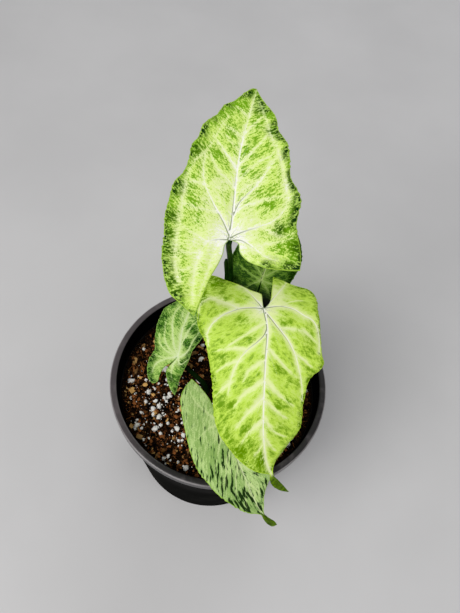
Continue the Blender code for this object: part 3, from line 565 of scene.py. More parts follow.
class Finish:
    """A procedural material: short calls that add nodes and join them."""

    def __init__(self, name, roughness=0.5, specular=0.5):
        self.material = bpy.data.materials.new(name)
        self.material.use_nodes = True
        self.tree = self.material.node_tree
        self.set("Roughness", roughness)
        self.set("Specular IOR Level", specular)

    def set(self, name, value):
        """Gives one of the shader's own inputs its value."""
        self.feed(self.tree.nodes["Principled BSDF"].inputs[name], value)

    def feed(self, socket, value):
        if isinstance(value, Value):
            self.tree.links.new(value.socket, socket)
        else:
            socket.default_value = value

    def node(self, kind, inputs, output=0, **settings):
        """Adds a node with its settings, feeds its inputs and gives one of its outputs."""
        made = self.tree.nodes.new("ShaderNode" + kind)
        for key, value in settings.items():
            setattr(made, key, value)
        for key, value in inputs.items():
            self.feed(made.inputs[key], value)
        return Value(self, made.outputs[output])

    def calc(self, kind, a, b=0.0):
        return self.node("Math", {0: a, 1: b}, operation=kind)

    def vector(self, kind, a, b=(0, 0, 0), output=0):
        return self.node("VectorMath", {0: a, 1: b}, output, operation=kind)

    def step(self, value, low, high, start=0.0, end=1.0):
        """Smooth step of a value: start below low, end above high."""
        return self.node("MapRange", {0: value, 1: low, 2: high, 3: start, 4: end},
                         interpolation_type="SMOOTHSTEP")

    def mix(self, share, a, b):
        """Colour a where share is 0, and b where it is 1."""
        return self.node("Mix", {0: share, 6: a, 7: b}, 2, data_type="RGBA")

    def read(self, name, output="Fac"):
        """An attribute of the mesh, as a number, or as a vector with output Vector."""
        return self.node("Attribute", {}, output, attribute_name=name)

    def place(self):
        """The point's place in metres."""
        return self.node("TexCoord", {}, "Object")

    def axis(self, vector, name):
        return self.node("SeparateXYZ", {0: vector}, name)

    def mapped(self, vector, scale, rotation=(0, 0, 0)):
        return self.node("Mapping", {"Vector": vector, "Scale": scale, "Rotation": rotation})

    def noise(self, vector, scale, detail=3.0, roughness=0.55, distortion=0.0, output=0):
        return self.node("TexNoise", {"Vector": vector, "Scale": scale, "Detail": detail,
                                      "Roughness": roughness, "Distortion": distortion}, output)

    def cells(self, vector, scale):
        """Distance from the edges of a net of cells: 0 on an edge, about 0.5 in the middle of a cell."""
        return self.node("TexVoronoi", {"Vector": vector, "Scale": scale}, "Distance",
                         feature="DISTANCE_TO_EDGE")

    def bump(self, height, strength, distance):
        self.set("Normal", self.node("Bump", {"Strength": strength, "Distance": distance,
                                              "Height": height}))


# Colours are screen values, and spots are u, v and radius in millimetres. lime marks a lime leaf and not
# a sage one. vein, halo, lamina, patch, dark, edge and under are the colours of the veins, the
# bands beside them, the blade, its greener patches, the dark spots, the outermost edge and the underside.
# Veins: reach scales the bands, white is the span of a band over which it turns from halo to vein, fade
# dulls the side veins towards their ends, heart is the radius of the pale patch round the joint, pale are
# further pale spots, and shadow is the direction in u and v away from the light.
# Green: cover is the span over which the patches set in, mottle how finely they are broken, streaks,
# clouds, grain and cells how strongly each pattern breaks them, lobes how much fewer the lobes have, and
# shade and blotch are spots with more. slant is the angle of the streaks on the blade and on the lobes,
# turn the u below which the one gives way to the other, and stretch is smaller for longer streaks.
# Margin: margin is how wide the dark rim is, rim how strong it is, and flecks puts the dark spots over
# the whole blade. drip is the share of the length where the drip tip begins, past 1 where there is none,
# and tail its colour. quilt is how far the blade swells between veins, and deep is the strength of the
# painted deep shade, near black, on the lobes of a leaf that lies under others.
PLAIN_LOOK = dict(
    lime=False, shadow=(-0.5, -0.85), fade=0.4, white=(0.75, 1.4), pale=(), shade=(), blotch=(), clouds=0.5,
    lobes=0.0, slant=(50, 98), turn=12, stretch=0.42, flecks=False, drip=1.2, tail=(60, 90, 20), deep=0.0)
LEAF_LOOKS = {
    "leaf_upright": PLAIN_LOOK | dict(
        lime=True, heart=12.0, reach=0.98, fade=0.7, quilt=0.45,
        pale=((8, 6, 6), (14, -9, 6), (-4, -13, 5), (-2, 12, 4), (21, -6, 5), (20, 5, 5)),
        shade=((60, 3.6, 3.6), (65, 1.6, 2.6), (66, -2, 2), (49, 11, 2.4), (1, 27, 3), (6.5, 19.5, 2.4),
               (34, -19, 4), (18, -23, 3), (5, -24.5, 3), (-3, -24.5, 3), (-10, -23.5, 4),
               (-17, -21.5, 3.4), (-22, -18.5, 3), (-26, -15, 3)),
        blotch=((56, -8, 4), (60, -4, 3), (58, 7, 3), (52, -14, 4), (44, -6, 3), (34, -8.5, 3.4),
                (40, 2.5, 2.4), (36, 3, 2.6), (50, 5, 3), (48, 12, 3), (28, 3, 2), (18, -18, 3),
                (12, -17, 3), (6, -14, 3), (26, 8, 3), (22, 6, 2.6), (15, 14, 3.4), (14, 6, 2.4),
                (25, 22, 3), (16, 24, 3), (8, 24, 3), (4, 17, 3), (0, 20, 3), (-4, 27, 3),
                (-10, -17, 3.4), (-19, -14.5, 3.4), (-15, -10, 2.6)),
        vein=(253, 254, 248), halo=(236, 250, 178), lamina=(213, 244, 112), patch=(116, 172, 6),
        dark=(12, 52, 14), edge=(168, 208, 70), under=(180, 206, 112), mottle=1.3, streaks=1.0, clouds=0.4,
        grain=0.7, cells=0.3, cover=(0.68, 1.38), lobes=0.35, rim=0.6, margin=3.6),
    "leaf_front": PLAIN_LOOK | dict(
        lime=True, shadow=(0.5, 0.85), heart=7.0, reach=0.98, fade=0.55, white=(0.95, 1.55), quilt=0.6,
        pale=((-8, 3, 5), (-5, -7, 6), (-10, -5, 5), (-13, 7, 4)),
        shade=((71, 2, 4), (66, 11, 3), (-18, 22, 4.5), (-10, 28, 3)),
        blotch=((5, 12, 3.2), (6, 9, 2.6), (16, 8, 3.4), (27, 19, 3), (8, -8, 3), (46, 19, 3),
                (49, 14, 2.6), (57, 7, 2.8), (63, 6, 3), (58, 16, 3), (48, -7, 2.6), (46, -12, 2.6),
                (57, -8, 2.4), (-8, 19, 4), (14, -20, 4), (20, 14, 2.4), (34, 9, 2.6), (30, -7, 2.6),
                (36, -12, 2.4)),
        vein=(252, 253, 242), halo=(237, 250, 178), lamina=(200, 236, 84), patch=(113, 161, 0),
        dark=(98, 142, 0), edge=(186, 222, 60), under=(150, 178, 50), mottle=0.9, streaks=0.45, clouds=0.4,
        grain=0.34, cells=0.5, cover=(0.64, 1.6), stretch=0.5, rim=0.25, margin=1.2, drip=0.82,
        tail=(54, 78, 4)),
    "leaf_side": PLAIN_LOOK | dict(
        heart=2.0, reach=1.2, quilt=0.3,
        shade=((20, -12, 2.6), (15, -12.5, 2.4), (16, 5.6, 3), (8, 3.4, 2.6), (24, 9, 3), (-2, 4.5, 2.2),
               (-11, -14, 5), (-14, 4, 4), (-16, -9, 3)),
        blotch=((18, 2.4, 3), (10, 3.4, 3), (24, 5, 3.4), (30, 3, 3.4), (12, 8, 3), (4, -9, 2),
                (24, -4, 2.4)),
        vein=(236, 248, 210), halo=(218, 240, 164), lamina=(182, 220, 110), patch=(88, 144, 40),
        dark=(16, 52, 18), edge=(150, 196, 90), under=(120, 156, 80), mottle=1.4, streaks=0.9, grain=0.45,
        cells=0.4, cover=(0.74, 1.34), rim=0.75, margin=3.4),
    "leaf_low": PLAIN_LOOK | dict(
        shadow=(0.5, 0.85), heart=1.0, reach=0.9, quilt=0.25,
        shade=((14, 7, 5), (30, 8, 5.5), (38, 5, 5), (45, 2.5, 5), (48, 2, 4), (50, 1, 3), (22, 13, 4),
               (26, -9, 4)),
        vein=(228, 242, 192), halo=(220, 240, 168), lamina=(206, 233, 154), patch=(156, 194, 106),
        dark=(14, 42, 8), edge=(160, 206, 60), under=(130, 164, 80), mottle=1.0, streaks=0.7, grain=0.6,
        cells=0.2, cover=(0.55, 1.35), slant=(-4, 22), turn=42, stretch=0.22, flecks=True, rim=0.3,
        margin=2.4, drip=0.78, tail=(58, 84, 10)),
    # leaf_back lies under the upper leaves: its tones are painted darker than the others' as shade, and deep
    # gives its lobes painted deep shade.
    "leaf_back": PLAIN_LOOK | dict(
        heart=2.5, reach=1.0, quilt=0.4, vein=(200, 222, 140), halo=(150, 190, 80), lamina=(98, 142, 34),
        patch=(42, 84, 8), dark=(14, 40, 2), edge=(100, 146, 46), under=(110, 146, 70), mottle=1.0,
        streaks=0.8, grain=0.5, cells=0.4, cover=(0.45, 0.95), rim=0.6, margin=3.4, deep=1.0),
}
FLECK, DEEP_SHADE, VEIN_SHADOW, TIP_LIGHT = (84, 134, 62), (3, 9, 2), (120, 138, 92), (112, 148, 24)


def leaf_finish(name):
    """Pale veins in a pale band, lime between them, darker mottled patches, and a dark broken margin."""
    look = LEAF_LOOKS[name]
    tone = lambda key: colour(*look[key])
    f = Finish(name + "_finish")
    streak, lobe_streak, blade = (f.read(label, "Vector") for label in ("streak", "lobe_streak", "blade"))
    margin, outer, band, along = (f.read(label) for label in ("margin", "outer", "band", "along"))
    shade, shine, lobe = (f.read(label) for label in ("shade", "shine", "lobe"))

    def drawn(scale, detail, rough, low, high):
        """Noise drawn out along the side veins of the blade and of its lobes, stretched to 0 to 1."""
        on_blade, on_lobe = (f.noise(vector, scale, detail, rough) for vector in (streak, lobe_streak))
        return f.step(on_blade * (1 - lobe) + on_lobe * lobe, low, high)

    # Patterns, and how they shift the green and the pale bands
    clouds = drawn(0.20, 2.0, 0.5, 0.38, 0.62)
    streaks = drawn(look["mottle"], 4.0, 0.65, 0.38, 0.62)
    fine = f.step(f.noise(blade, 1.9, 3.0, 0.7), 0.36, 0.64)
    drift = f.vector("MULTIPLY", f.noise(blade, 0.35, 3.0, 0.5, output=1), (1.6, 1.6, 0.0))
    cells = f.step(f.cells(f.vector("ADD", streak, drift), 0.36), 0.0, 0.45)
    swing = lambda value, gain: (value - 0.5) * gain
    texture = swing(streaks, look["streaks"]) + swing(clouds, look["clouds"])
    texture = texture + (swing(fine, look["grain"]) + swing(cells, look["cells"]))
    pale = band - texture * 0.45
    base = f.mix(f.step(pale, 0.05, 0.9), tone("lamina"), tone("halo"))
    base = f.mix(f.step(pale, *look["white"]), base, tone("vein"))
    green = 1.0 - band + texture - f.step(along, -0.3, 0.1, look["lobes"], 0.0)
    green = green + (shade * 0.6 + f.read("blotch") * 0.42)
    base = f.mix(f.step(green, *look["cover"]), base, tone("patch"))

    # The rim, torn inwards by the patterns, and the dark spots in it or over the whole blade
    torn = outer + swing(clouds, 3.2) + swing(streaks, 2.0)
    near = f.calc("MAXIMUM", f.step(torn, 0.3, look["margin"], 1.0, 0.0), shade * 0.85)
    near = near * f.step(band, 0.35, 0.85, 1.0, 0.15)
    base = f.mix(near * look["rim"], base, tone("patch"))
    if look["flecks"]:
        spread = f.step(along, -0.2, 0.6, -0.22, 0.04) + f.step(outer, 0.8, 4.5, 0.12, 0.0)
        grain = drawn(0.8, 2.0, 0.5, 0.2, 0.8) + (spread + shade * 0.2)
        base = f.mix(f.step(grain, 0.56, 0.74, 0.0, 0.5), base, colour(*FLECK))
        spots = f.step(grain, 0.7, 0.8, 0.0, 0.95)
    else:
        spots = f.step(streaks * 0.7 + fine * 0.3, 0.28, 0.5) * near
    base = f.mix(spots, base, tone("dark"))
    base = f.mix(f.step(margin, 0.15, 0.55, 0.75, 0.0), base, tone("edge"))

    # The veins, each with a thin shadow line on the side away from the light
    away = lambda shift: f.calc("ABSOLUTE", f.read("offset") + f.read("tilt") * shift)
    on_vein = f.step(away(0.16) / f.read("half"), 0.4, 1.6, 1.0, 0.0) * f.step(shine, 0.1, 0.7, 0.35, 1.0)
    base = f.mix(on_vein, base, f.mix(f.step(shine, 0.1, 0.7), tone("halo"), tone("vein")))
    inner = f.step(outer, 7.0, 10.0) * f.step(along, 0.35, 0.6, 1.0, 0.0)
    hair = f.step(away(-0.34), 0.1, 0.34, 0.9, 0.0) * (f.read("line") * inner)
    base = f.mix(hair, base, colour(*VEIN_SHADOW))

    # The drip tip, painted deep shade on the lobes of a leaf that lies under others, and the underside
    tip = f.mix(streaks * 0.6, tone("tail"), colour(*TIP_LIGHT))
    base = f.mix(f.step(along, look["drip"], look["drip"] + 0.03), base, tip)
    # Painted shade: where deep is set, the lobes below the joint are painted near black.
    base = f.mix(f.step(along, -0.3, 0.0, 1.0, 0.0) * look["deep"], base, colour(*DEEP_SHADE))
    base = f.mix(f.read("under"), base, f.mix(streaks * 0.6, tone("under"), tone("lamina")))
    f.set("Base Color", base)
    f.set("Roughness", f.step(fine, 0.0, 1.0, 0.42, 0.55))
    f.set("Specular IOR Level", f.step(spots, 0.05, 0.5, 0.12, 0.0))
    f.bump(streaks + fine, 0.25, 0.00012)
    return f.material


def pot_finish():
    """Black moulded plastic: a dusty wall, lighter towards its top, and a scuffed rim whose top has a
    painted reflection, lighter on the left than at the front, and a painted highlight along its outer edge.
    The inside wall above the mix is painted near black as shade.
    """
    f = Finish("pot_finish")
    place = f.place()
    x, y, z = (f.axis(place, name) for name in "XYZ")
    radius = f.vector("LENGTH", f.vector("MULTIPLY", place, (1, 1, 0)), output="Value")
    above = lambda low, high, *ends: f.step(z, low * MM, high * MM, *ends)
    beyond = lambda low, high, *ends: f.step(radius, low * MM, high * MM, *ends)
    dust = f.noise(place, 45.0, 5.0, 0.6)
    scuff = f.noise(f.mapped(place, (1.0, 1.0, 6.0)), 140.0, 3.0)
    rim_foot, lip = (RIM_BOTTOM - 3, RIM_BOTTOM), (RIM_INNER_RADIUS + 0.1, RIM_INNER_RADIUS + 0.6)
    base = f.mix(f.step(dust, 0.42, 0.8), colour(26, 26, 25), colour(40, 40, 38))
    base = f.mix(above(50, 85), base, colour(46, 45, 45))
    rim = f.mix(f.step(dust, 0.4, 0.7), colour(24, 23, 24), colour(52, 49, 50))
    base = f.mix(above(*rim_foot), base, rim)
    base = f.mix(f.step(scuff, 0.62, 0.8, 0.0, 0.35), base, colour(52, 50, 49))
    # The rim's top: a painted reflection, lighter on its left and back-left than at its front, with real
    # scuffs paler still.
    rim_sheen_and_wear = f.step(x - y * 0.5 + scuff * 0.05, -0.012, 0.03)
    rim_sheen_and_wear = f.mix(rim_sheen_and_wear, colour(76, 70, 73), colour(36, 34, 35))
    rim_sheen_and_wear = f.mix(f.step(scuff, 0.45, 0.72, 0.0, 0.5), rim_sheen_and_wear, colour(104, 97, 100))
    base = f.mix(above(POT_HEIGHT - 2.5, POT_HEIGHT - 0.8) * beyond(*lip), base, rim_sheen_and_wear)
    # A painted highlight: a thin pale line along the rounded outer edge of the rim, broken by the scuffs.
    edge = beyond(RIM_RADIUS - 0.9, RIM_RADIUS - 0.5) * above(POT_HEIGHT - 1.1, POT_HEIGHT - 0.7)
    base = f.mix(edge * f.step(scuff, 0.3, 0.6, 0.55, 0.9), base, colour(150, 146, 148))
    # Painted shade: the inside wall above the mix is painted near black, and has no specular.
    inside = beyond(*lip, 1.0, 0.0) * above(SOIL_TOP + 0.2, SOIL_TOP + 0.8)
    f.set("Base Color", f.mix(inside, base, colour(5, 5, 6)))
    f.set("Specular IOR Level", above(*rim_foot, 0.0, 0.5) * (1.0 - inside))
    f.set("Roughness", f.step(dust, 0.3, 0.75, 0.28, 0.42))
    f.bump(f.noise(place, 900.0, 2.0, 0.5), 0.12, 0.0002)
    return f.material


def soil_finish():
    """Dark peat with reddish fibres and lighter crumbs."""
    f = Finish("soil_finish", 0.95, 0.05)
    place = f.place()
    crumb = f.noise(place, 420.0, 6.0, 0.7, 0.4)
    fibre = f.noise(f.mapped(place, (1.0, 3.2, 1.4), (0.2, 0.1, 0.7)), 500.0, 4.0, 0.65, 1.2)
    base = f.mix(f.step(crumb, 0.36, 0.62), colour(3, 2, 1), colour(34, 20, 10))
    base = f.mix(f.step(fibre, 0.56, 0.7), base, colour(90, 54, 24))
    base = f.mix(f.step(f.noise(place, 1500.0, 2.0), 0.66, 0.74), base, colour(168, 128, 80))
    f.set("Base Color", base)
    f.bump(crumb + fibre * 0.6, 0.9, 0.0012)
    return f.material


def bit_finish(name, low, high, scale, depth=0.0004, span=(0.2, 0.95)):
    """Bits in the mix: the tone differs from bit to bit, with a fine grain over it."""
    f = Finish(name + "_finish", 0.9, 0.05)
    grain = f.noise(f.place(), scale, 4.0, 0.65)
    share = f.read("tone") * 0.75 + grain * 0.5
    f.set("Base Color", f.mix(f.step(share, *span), colour(*low), colour(*high)))
    f.bump(grain, 0.6, depth)
    return f.material


def stalk_finish():
    """Smooth green stalk with faint lengthwise lines, painted darker towards its foot as shade under the
    leaves.
    """
    f = Finish("stalk_finish", 0.42)
    place = f.place()
    z = f.axis(place, "Z")
    above = lambda low, high, *ends: f.step(z, low * MM, high * MM, *ends)
    lines = f.noise(f.mapped(place, (1.0, 1.0, 0.06)), 1600.0, 2.0)
    base = f.mix(f.step(lines, 0.35, 0.7), colour(10, 36, 4), colour(24, 60, 8))
    base = f.mix(f.step(f.noise(place, 120.0, 3.0), 0.45, 0.75, 0.0, 0.4), base, colour(44, 82, 20))
    # Painted shade: the stalks are painted dark below 160 mm, darkest below 105 mm, and have no specular
    # below 160 mm.
    f.set("Base Color", f.mix(above(105, 160, 0.8, 0.0), base, colour(12, 24, 8)))
    f.set("Specular IOR Level", above(160, 190, 0.0, 0.04))
    f.bump(lines, 0.3, 0.0002)
    return f.material


# Pot


def wall_radius(z):
    """Outer radius of the pot's wall at a height."""
    return BASE_RADIUS + (WALL_TOP_RADIUS - BASE_RADIUS) * z / RIM_BOTTOM


def rounded(points, radius, count=4):
    """The profile with each inner corner turned into a short arc of about the radius."""
    points = [np.array(p, float) for p in points]
    line = [points[0]]
    for before, corner, after in zip(points, points[1:], points[2:]):
        into, out = before - corner, after - corner
        reach = min(radius, np.linalg.norm(into) / 2.1, np.linalg.norm(out) / 2.1)
        start, end = (corner + d / np.linalg.norm(d) * reach for d in (into, out))
        for t in np.linspace(0, 1, count):
            line.append((1 - t) ** 2 * start + 2 * t * (1 - t) * corner + t**2 * end)
    return line + [points[-1]]


def turned(name, profile, sides, material):
    """A closed turned shape from a profile of radius and height that starts and ends on the axis."""
    rings = len(profile) - 2
    places = [(0, 0, profile[0][1])]
    places += [(radius * x, radius * y, height) for radius, height in profile[1:-1]
               for x, y in circle(sides)]
    places.append((0, 0, profile[-1][1]))
    top, ring = len(places) - 1, 1 + (rings - 1) * sides
    faces = [[0, 1 + (k + 1) % sides, 1 + k] for k in range(sides)]
    faces += ring_faces(rings, sides, 1)
    faces += [[top, ring + k, ring + (k + 1) % sides] for k in range(sides)]
    return make_piece(name, places, faces, material, smooth=False)


def drain_cutter():
    """One object of round pegs where the drain holes come."""
    pegs = bmesh.new()
    for x, y in circle(DRAIN_HOLES, 0.5):
        spot = Vector((DRAIN_CIRCLE * x, DRAIN_CIRCLE * y, FLOOR / 2)) * MM
        bmesh.ops.create_cone(pegs, cap_ends=True, segments=28, radius1=DRAIN_RADIUS * MM,
                              radius2=DRAIN_RADIUS * MM, depth=3 * FLOOR * MM,
                              matrix=Matrix.Translation(spot))
    mesh = bpy.data.meshes.new("drain_cutter")
    pegs.to_mesh(mesh)
    pegs.free()
    return new_object("drain_cutter", mesh)


def build_pot(material):
    profile = [
        (0, 0), (BASE_RADIUS, 0), (wall_radius(RIM_BOTTOM), RIM_BOTTOM),
        (RIM_RADIUS - RIM_TAPER, RIM_BOTTOM), (RIM_RADIUS, POT_HEIGHT), (RIM_INNER_RADIUS, POT_HEIGHT),
        (wall_radius(RIM_BOTTOM) - WALL, RIM_BOTTOM - 1), (wall_radius(FLOOR) - WALL, FLOOR), (0, FLOOR),
    ]
    obj = turned("pot_shell", rounded(profile, CORNER_RADIUS), POT_SIDES, material)
    cutter = drain_cutter()
    cut = obj.modifiers.new("drain", "BOOLEAN")
    cut.operation, cut.solver, cut.object = "DIFFERENCE", "EXACT", cutter
    graph = bpy.context.evaluated_depsgraph_get()
    mesh = bpy.data.meshes.new_from_object(obj.evaluated_get(graph))
    obj.modifiers.clear()
    obj.data = mesh
    bpy.data.objects.remove(cutter)
    mesh.shade_smooth()
    mesh.set_sharp_from_angle(angle=math.radians(50))
    dress(obj, "pot")


# Potting mix


def relief(x, y, height, pitch, seed):
    return height * noise.noise((x / pitch, y / pitch, seed))


def soil_height(x, y):
    """Top of the mix: a slight mound round the stem, with hollows, lumps and crumbs."""
    mound = MOUND_HEIGHT * math.exp(-((math.hypot(x, y) / MOUND_REACH) ** 2))
    hollows = relief(x, y, 1.5, 7, 1.0) + relief(x, y, 1.0, 2.6, 5.0)
    crumbs = abs(relief(x, y, 0.7, 1.3, 9.0)) + relief(x, y, 0.35, 0.6, 4.0)
    return SOIL_TOP + mound + hollows + crumbs


def build_soil(material):
    """The mix as one body: rings of its uneven top, then its side and its flat base."""
    edge, base = (wall_radius(z) - WALL - SOIL_GAP for z in (SOIL_TOP, FLOOR))
    places = [(0, 0, soil_height(0, 0))]
    for i in range(1, SOIL_RINGS + 1):
        radius = edge * i / SOIL_RINGS
        places += [(radius * x, radius * y, soil_height(radius * x, radius * y))
                   for x, y in circle(SOIL_SIDES)]
    for radius, height in ((base, FLOOR + SOIL_GAP + 2), (base - 2, FLOOR + SOIL_GAP)):
        places += [(radius * x, radius * y, height) for x, y in circle(SOIL_SIDES)]
    faces = [[0, 1 + k, 1 + (k + 1) % SOIL_SIDES] for k in range(SOIL_SIDES)]
    faces += ring_faces(SOIL_RINGS + 2, SOIL_SIDES, 1, flip=True)
    faces.append([len(places) - SOIL_SIDES + k for k in reversed(range(SOIL_SIDES))])
    dress(make_piece("potting_mix", places, faces, material), "soil")


def tumble(bm, draw, *leans):
    """Turns a bit any way round, and leans it about X and then Y by up to the given angles."""
    turn = Matrix.Rotation(draw.uniform(0, FULL_TURN), 4, "Z")
    for lean, axis in zip(leans, "XY"):
        turn = turn @ Matrix.Rotation(draw.uniform(-lean, lean), 4, axis)
    bmesh.ops.transform(bm, matrix=turn, verts=bm.verts)


def lump(draw, size, rough, flat, detail):
    """A small irregular grain round the origin."""
    bm = bmesh.new()
    bmesh.ops.create_icosphere(bm, subdivisions=detail, radius=size)
    seed = draw.uniform(0, 90)
    shape = [draw.uniform(0.75, 1.25), draw.uniform(0.75, 1.25), draw.uniform(0.7, 1.1) * flat]
    for vert in bm.verts:
        push = 1 + rough * noise.noise(vert.co / size * 1.3 + Vector((seed, 0, 0)))
        vert.co = Vector(c * s * push for c, s in zip(vert.co, shape))
    tumble(bm, draw, 0.6)
    return bm


def shard(draw, length, width, thick):
    """A flat splinter of bark with uneven ends."""
    bm = bmesh.new()
    bmesh.ops.create_cube(bm, size=1)
    bmesh.ops.subdivide_edges(bm, edges=bm.edges, cuts=2, use_grid_fill=True)
    seed = draw.uniform(0, 90)
    for vert in bm.verts:
        push = Vector([noise.noise(vert.co * 2.1 + Vector((seed, 0, apart))) for apart in (0, 30, 60)])
        round_off = 1 - 0.35 * max(0, vert.co.length - 0.55)
        vert.co = Vector(((vert.co.x * round_off + 0.16 * push.x) * length,
                          (vert.co.y * round_off + 0.16 * push.y) * width,
                          (vert.co.z + 0.25 * push.z) * thick))
    tumble(bm, draw, 0.5, 0.35)
    return bm


def strand(draw, length, radius, count=9):
    """A thin curved root or coir fibre of count rings that lies along the ground."""
    bm = bmesh.new()
    heading, bend = draw.uniform(0, FULL_TURN), draw.uniform(-0.22, 0.22)
    x = y = 0.0
    rings = []
    for i in range(count):
        r = radius * math.sin(math.pi * (i + 0.6) / (count + 0.2)) ** 0.4
        lift = 0.5 * length * 0.12 * math.sin(math.pi * i / (count - 1))
        across = Vector((-math.sin(heading), math.cos(heading), 0))
        centre = Vector((x, y, lift))
        rings.append([bm.verts.new(centre + across * r * math.cos(a) + Vector((0, 0, r * math.sin(a))))
                      for a in (0, 2.1, 4.2)])
        x += length / count * math.cos(heading)
        y += length / count * math.sin(heading)
        heading += bend + draw.uniform(-0.15, 0.15)
    for low, high in zip(rings, rings[1:]):
        for k in range(3):
            bm.faces.new((low[k], high[k], high[(k + 1) % 3], low[(k + 1) % 3]))
    bm.faces.new(rings[0])
    bm.faces.new(rings[-1][::-1])
    bmesh.ops.recalc_face_normals(bm, faces=bm.faces)
    return bm


def scatter(name, count, seed, make, finish, favour=None, sink=0.3, smooth=True):
    """Many bits on the mix in one piece. favour gives the chance, 0 to 1, of keeping one at x, y, and
    sink is the share of its size by which a bit stands in the mix."""
    draw = random.Random(seed)
    places, faces, tones = [], [], []
    made = 0
    while made < count:
        radius, angle = BITS_REACH * math.sqrt(draw.random()), draw.uniform(0, 2 * math.pi)
        x, y = radius * math.cos(angle), radius * math.sin(angle)
        if radius < STEM_ROOM or (favour and draw.random() > favour(x, y)):
            continue
        bm, size = make(draw)
        tone = draw.random()
        ground = soil_height(x, y) + (0.5 - sink) * size
        start = len(places)
        bm.verts.ensure_lookup_table()
        for vert in bm.verts:
            px, py = x + vert.co.x, y + vert.co.y
            away = math.hypot(px, py)
            if away > BITS_LIMIT:
                px, py = px * BITS_LIMIT / away, py * BITS_LIMIT / away
            places.append((px, py, ground + vert.co.z))
            tones.append(tone)
        faces += [[start + v.index for v in face.verts] for face in bm.faces]
        bm.free()
        made += 1
    obj = make_piece(name, places, faces, finish, smooth)
    add_attribute(obj.data, "tone", tones)
    dress(obj)


def bit_size(draw, low, high):
    """A size from low to high, most often near the low one."""
    return low + (high - low) * draw.random() ** 2.8


def lumps(low, high, rough, flat=1.0, detail=2):
    """A maker of grains between two sizes."""
    def make(draw):
        size = bit_size(draw, low, high)
        return lump(draw, size, rough, flat, detail), size
    return make


def bark(draw):
    size = bit_size(draw, 1.3, 4.4)
    return shard(draw, size, size * draw.uniform(0.35, 0.7), size * draw.uniform(0.14, 0.28)), size * 0.3


def fibre(draw):
    return strand(draw, draw.uniform(4, 13), draw.uniform(0.09, 0.2)), 0.3


def build_bits():
    """Crumbs, bark, perlite and fibres. Perlite lies mostly at the front, and bark chips at the left."""
    near_front = lambda x, y: 1.0 if x < 12 - 0.3 * y and -38 < y < 2 else 0.3
    near_left = lambda x, y: 1.0 if x < -10 and -24 < y < 8 else 0.2
    peat = bit_finish("crumb", (2, 1, 1), (176, 110, 60), 900.0, span=(0.48, 1.12))
    scatter("crumbs", 6400, 3, lumps(0.25, 1.15, 0.7, 0.8, 1), peat, smooth=False)
    brown = bit_finish("bark", (60, 34, 14), (214, 168, 104), 500.0)
    scatter("bark_bits", 230, 5, bark, brown, sink=0.2, smooth=False)
    tan = bit_finish("chip", (96, 60, 24), (236, 186, 112), 700.0)
    scatter("bark_chips", 70, 17, lumps(0.8, 1.9, 0.8, 0.8, 1), tan, near_left, sink=0.2, smooth=False)
    white = bit_finish("perlite", (250, 249, 244), (255, 255, 253), 900.0, depth=0.0003)
    scatter("perlite", 540, 11, lumps(0.24, 1.6, 0.75), white, near_front, sink=0.1)
    thread = bit_finish("fibre", (60, 32, 14), (150, 94, 44), 600.0)
    scatter("fibres", 260, 13, fibre, thread, sink=0.0)


# Stalks


def sweep(name, points, radii, sides, material, ridges=0.0):
    """A tapered stalk along a smooth line, with seven faint ridges and flat ends."""
    points = np.array(points, float)
    tangent = np.gradient(points, axis=0)
    tangent /= np.linalg.norm(tangent, axis=1, keepdims=True)
    side = np.cross(tangent[0], (1, 0, 0) if abs(tangent[0][0]) < 0.9 else (0, 1, 0))
    rows = []
    for i, (p, t, r) in enumerate(zip(points, tangent, radii)):
        side = side - t * (side @ t)
        side /= np.linalg.norm(side)
        up = np.cross(t, side)
        for k in range(sides):
            a = 2 * math.pi * k / sides
            w = r * (1 + ridges * math.cos(a * 7 + 0.4 * math.sin(i * 0.05)))
            rows.append(p + w * (side * math.cos(a) + up * math.sin(a)))
    last = (len(points) - 1) * sides
    faces = ring_faces(len(points), sides)
    faces += [list(reversed(range(sides))), [last + k for k in range(sides)]]
    return make_piece(name, rows, faces, material)


def petiole_route(name, count=90):
    """Centre line of a petiole: out of the mix, through its points, and into the joint from below."""
    spec = PETIOLES[name]
    angle = math.radians(spec["angle"])
    foot = np.array([FOOT_CIRCLE * math.cos(angle), FOOT_CIRCLE * math.sin(angle), PETIOLE_FOOT])
    collar = foot + (0, 0, SOIL_TOP - PETIOLE_FOOT)
    place, _, normal = spine_frame(LEAVES[spec["leaf"]], np.array([0.0]))
    end = place[0] - normal[0] * (LEAF_THICKNESS / 2 + STALK_GAP)
    below = place[0] - normal[0] * (SOLID_LEAF_THICKNESS / 2 + JOINT_GAP + JOINT_DROP)
    stops = np.array([foot, collar, *spec["through"], below, end], float)
    return smooth_line(stops, count)


def build_petiole(name, material):
    route = petiole_route(name)
    share = np.linspace(0, 1, len(route))
    radii = PETIOLE_BASE_RADIUS + (PETIOLE_TIP_RADIUS - PETIOLE_BASE_RADIUS) * share**0.7
    radii = radii * (1 + 0.18 * np.exp(-(((1 - share) / 0.03) ** 2)))
    dress(sweep(name + "_stalk", route, radii, 20, material, 0.03), name)
    if name == "petiole_upright":
        build_sheath(route, material)


def build_sheath(route, material):
    """The thin wing along the lower part of the upright petiole."""
    span = route[(route[:, 2] > SHEATH_BOTTOM) & (route[:, 2] < SHEATH_TOP)]
    rise = np.linspace(0, 1, len(span))
    width = SHEATH_RADIUS * np.sqrt(np.clip((1 - rise) * 14, 0, 1)) * np.sqrt(np.clip(rise * 10, 0, 1))
    wing = sweep("sheath_wing", span + (-SHEATH_OFFSET, 0, 0), np.maximum(width, 0.05), 16, material)
    dress(wing)


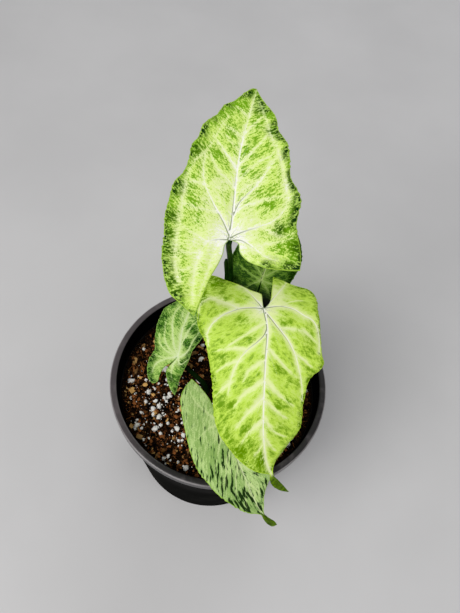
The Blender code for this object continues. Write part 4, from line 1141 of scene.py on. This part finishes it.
def build_stem(material):
    heights = np.linspace(STEM_FOOT, STEM_TOP, 30)
    rise = np.clip((heights - SOIL_TOP) / (STEM_TOP - SOIL_TOP), 0, 1)
    radii = STEM_RADIUS * np.sqrt(np.clip(1 - rise**2.2 * 0.97, 0.02, 1))
    obj = sweep("stem_crown", [(0, 0, h) for h in heights], radii, 24, material, 0.02)
    dress(obj, "stem")


# Stage, lights and camera


# Place and size in metres, power in watts, and tint of each light
LIGHTS = {
    "key_light": ((-0.45, -0.55, 1.05), 0.8, 8.5, (1.0, 0.98, 0.95)),
    "fill_light": ((0.9, -0.5, 0.7), 0.8, 1.8, (1, 1, 1)),
    "low_light": ((-0.95, -0.85, 0.4), 0.35, 1.6, (1, 1, 1)),
    "back_light": ((0.2, 0.9, 0.8), 0.7, 2.2, (1, 1, 1)),
}
LIGHTS_AIM = (0, 0, 0.12)
SKY_STRENGTH = 0.26
FLOOR_REACH = 4000

# The photograph's camera, solved from the rim's ellipse and the leaf outlines: its place and lens in
# millimetres, and the directions of its right and up sides
CAMERA_PLACE, CAMERA_LENS = (-0.70, -140.30, 402.46), 35.24
CAMERA_RIGHT, CAMERA_UP = (0.98657, 0.13903, 0.08570), (-0.16333, 0.83984, 0.51768)


def build_lights():
    for name, (place, size, power, tint) in LIGHTS.items():
        lamp = bpy.data.lights.new(name, "AREA")
        lamp.shape, lamp.size, lamp.energy, lamp.color = "DISK", size, power, tint
        obj = new_object(name, lamp)
        obj.location = place
        obj.rotation_mode = "QUATERNION"
        obj.rotation_quaternion = (Vector(LIGHTS_AIM) - Vector(place)).to_track_quat("-Z", "Y")


def build_stage():
    """A plain pale floor and an even white sky."""
    f = Finish("floor_finish", 0.75)
    cloud = f.step(f.noise(f.place(), 6.0, 4.0, 0.5), 0.3, 0.7)
    f.set("Base Color", f.mix(cloud, colour(206, 206, 208), colour(214, 214, 216)))
    corners = [(x * FLOOR_REACH, y * FLOOR_REACH, 0) for x, y in ((-1, -1), (1, -1), (1, 1), (-1, 1))]
    make_piece("floor", corners, [[0, 1, 2, 3]], f.material, smooth=False)
    world = bpy.data.worlds.new("studio")
    bpy.context.scene.world = world
    world.use_nodes = True
    back = world.node_tree.nodes["Background"]
    back.inputs["Color"].default_value = (1.0, 1.0, 1.0, 1)
    back.inputs["Strength"].default_value = SKY_STRENGTH


def build_camera():
    lens = bpy.data.cameras.new("camera")
    lens.lens, lens.sensor_width = CAMERA_LENS, 36
    lens.clip_start, lens.clip_end = 0.01, 20
    camera = new_object("camera", lens)
    right, up = Vector(CAMERA_RIGHT), Vector(CAMERA_UP)
    turn = Matrix((right, up, right.cross(up))).transposed()
    camera.matrix_world = Matrix.Translation(Vector(CAMERA_PLACE) * MM) @ turn.to_4x4()
    bpy.context.scene.camera = camera


def main():
    build_camera()
    build_stage()
    build_lights()
    build_pot(pot_finish())
    build_soil(soil_finish())
    build_bits()
    stalk = stalk_finish()
    build_stem(stalk)
    for name in PETIOLES:
        build_petiole(name, stalk)
    for name in LEAVES:
        build_leaf(name, leaf_finish(name))
    bpy.context.scene.view_settings.view_transform = "Standard"


main()
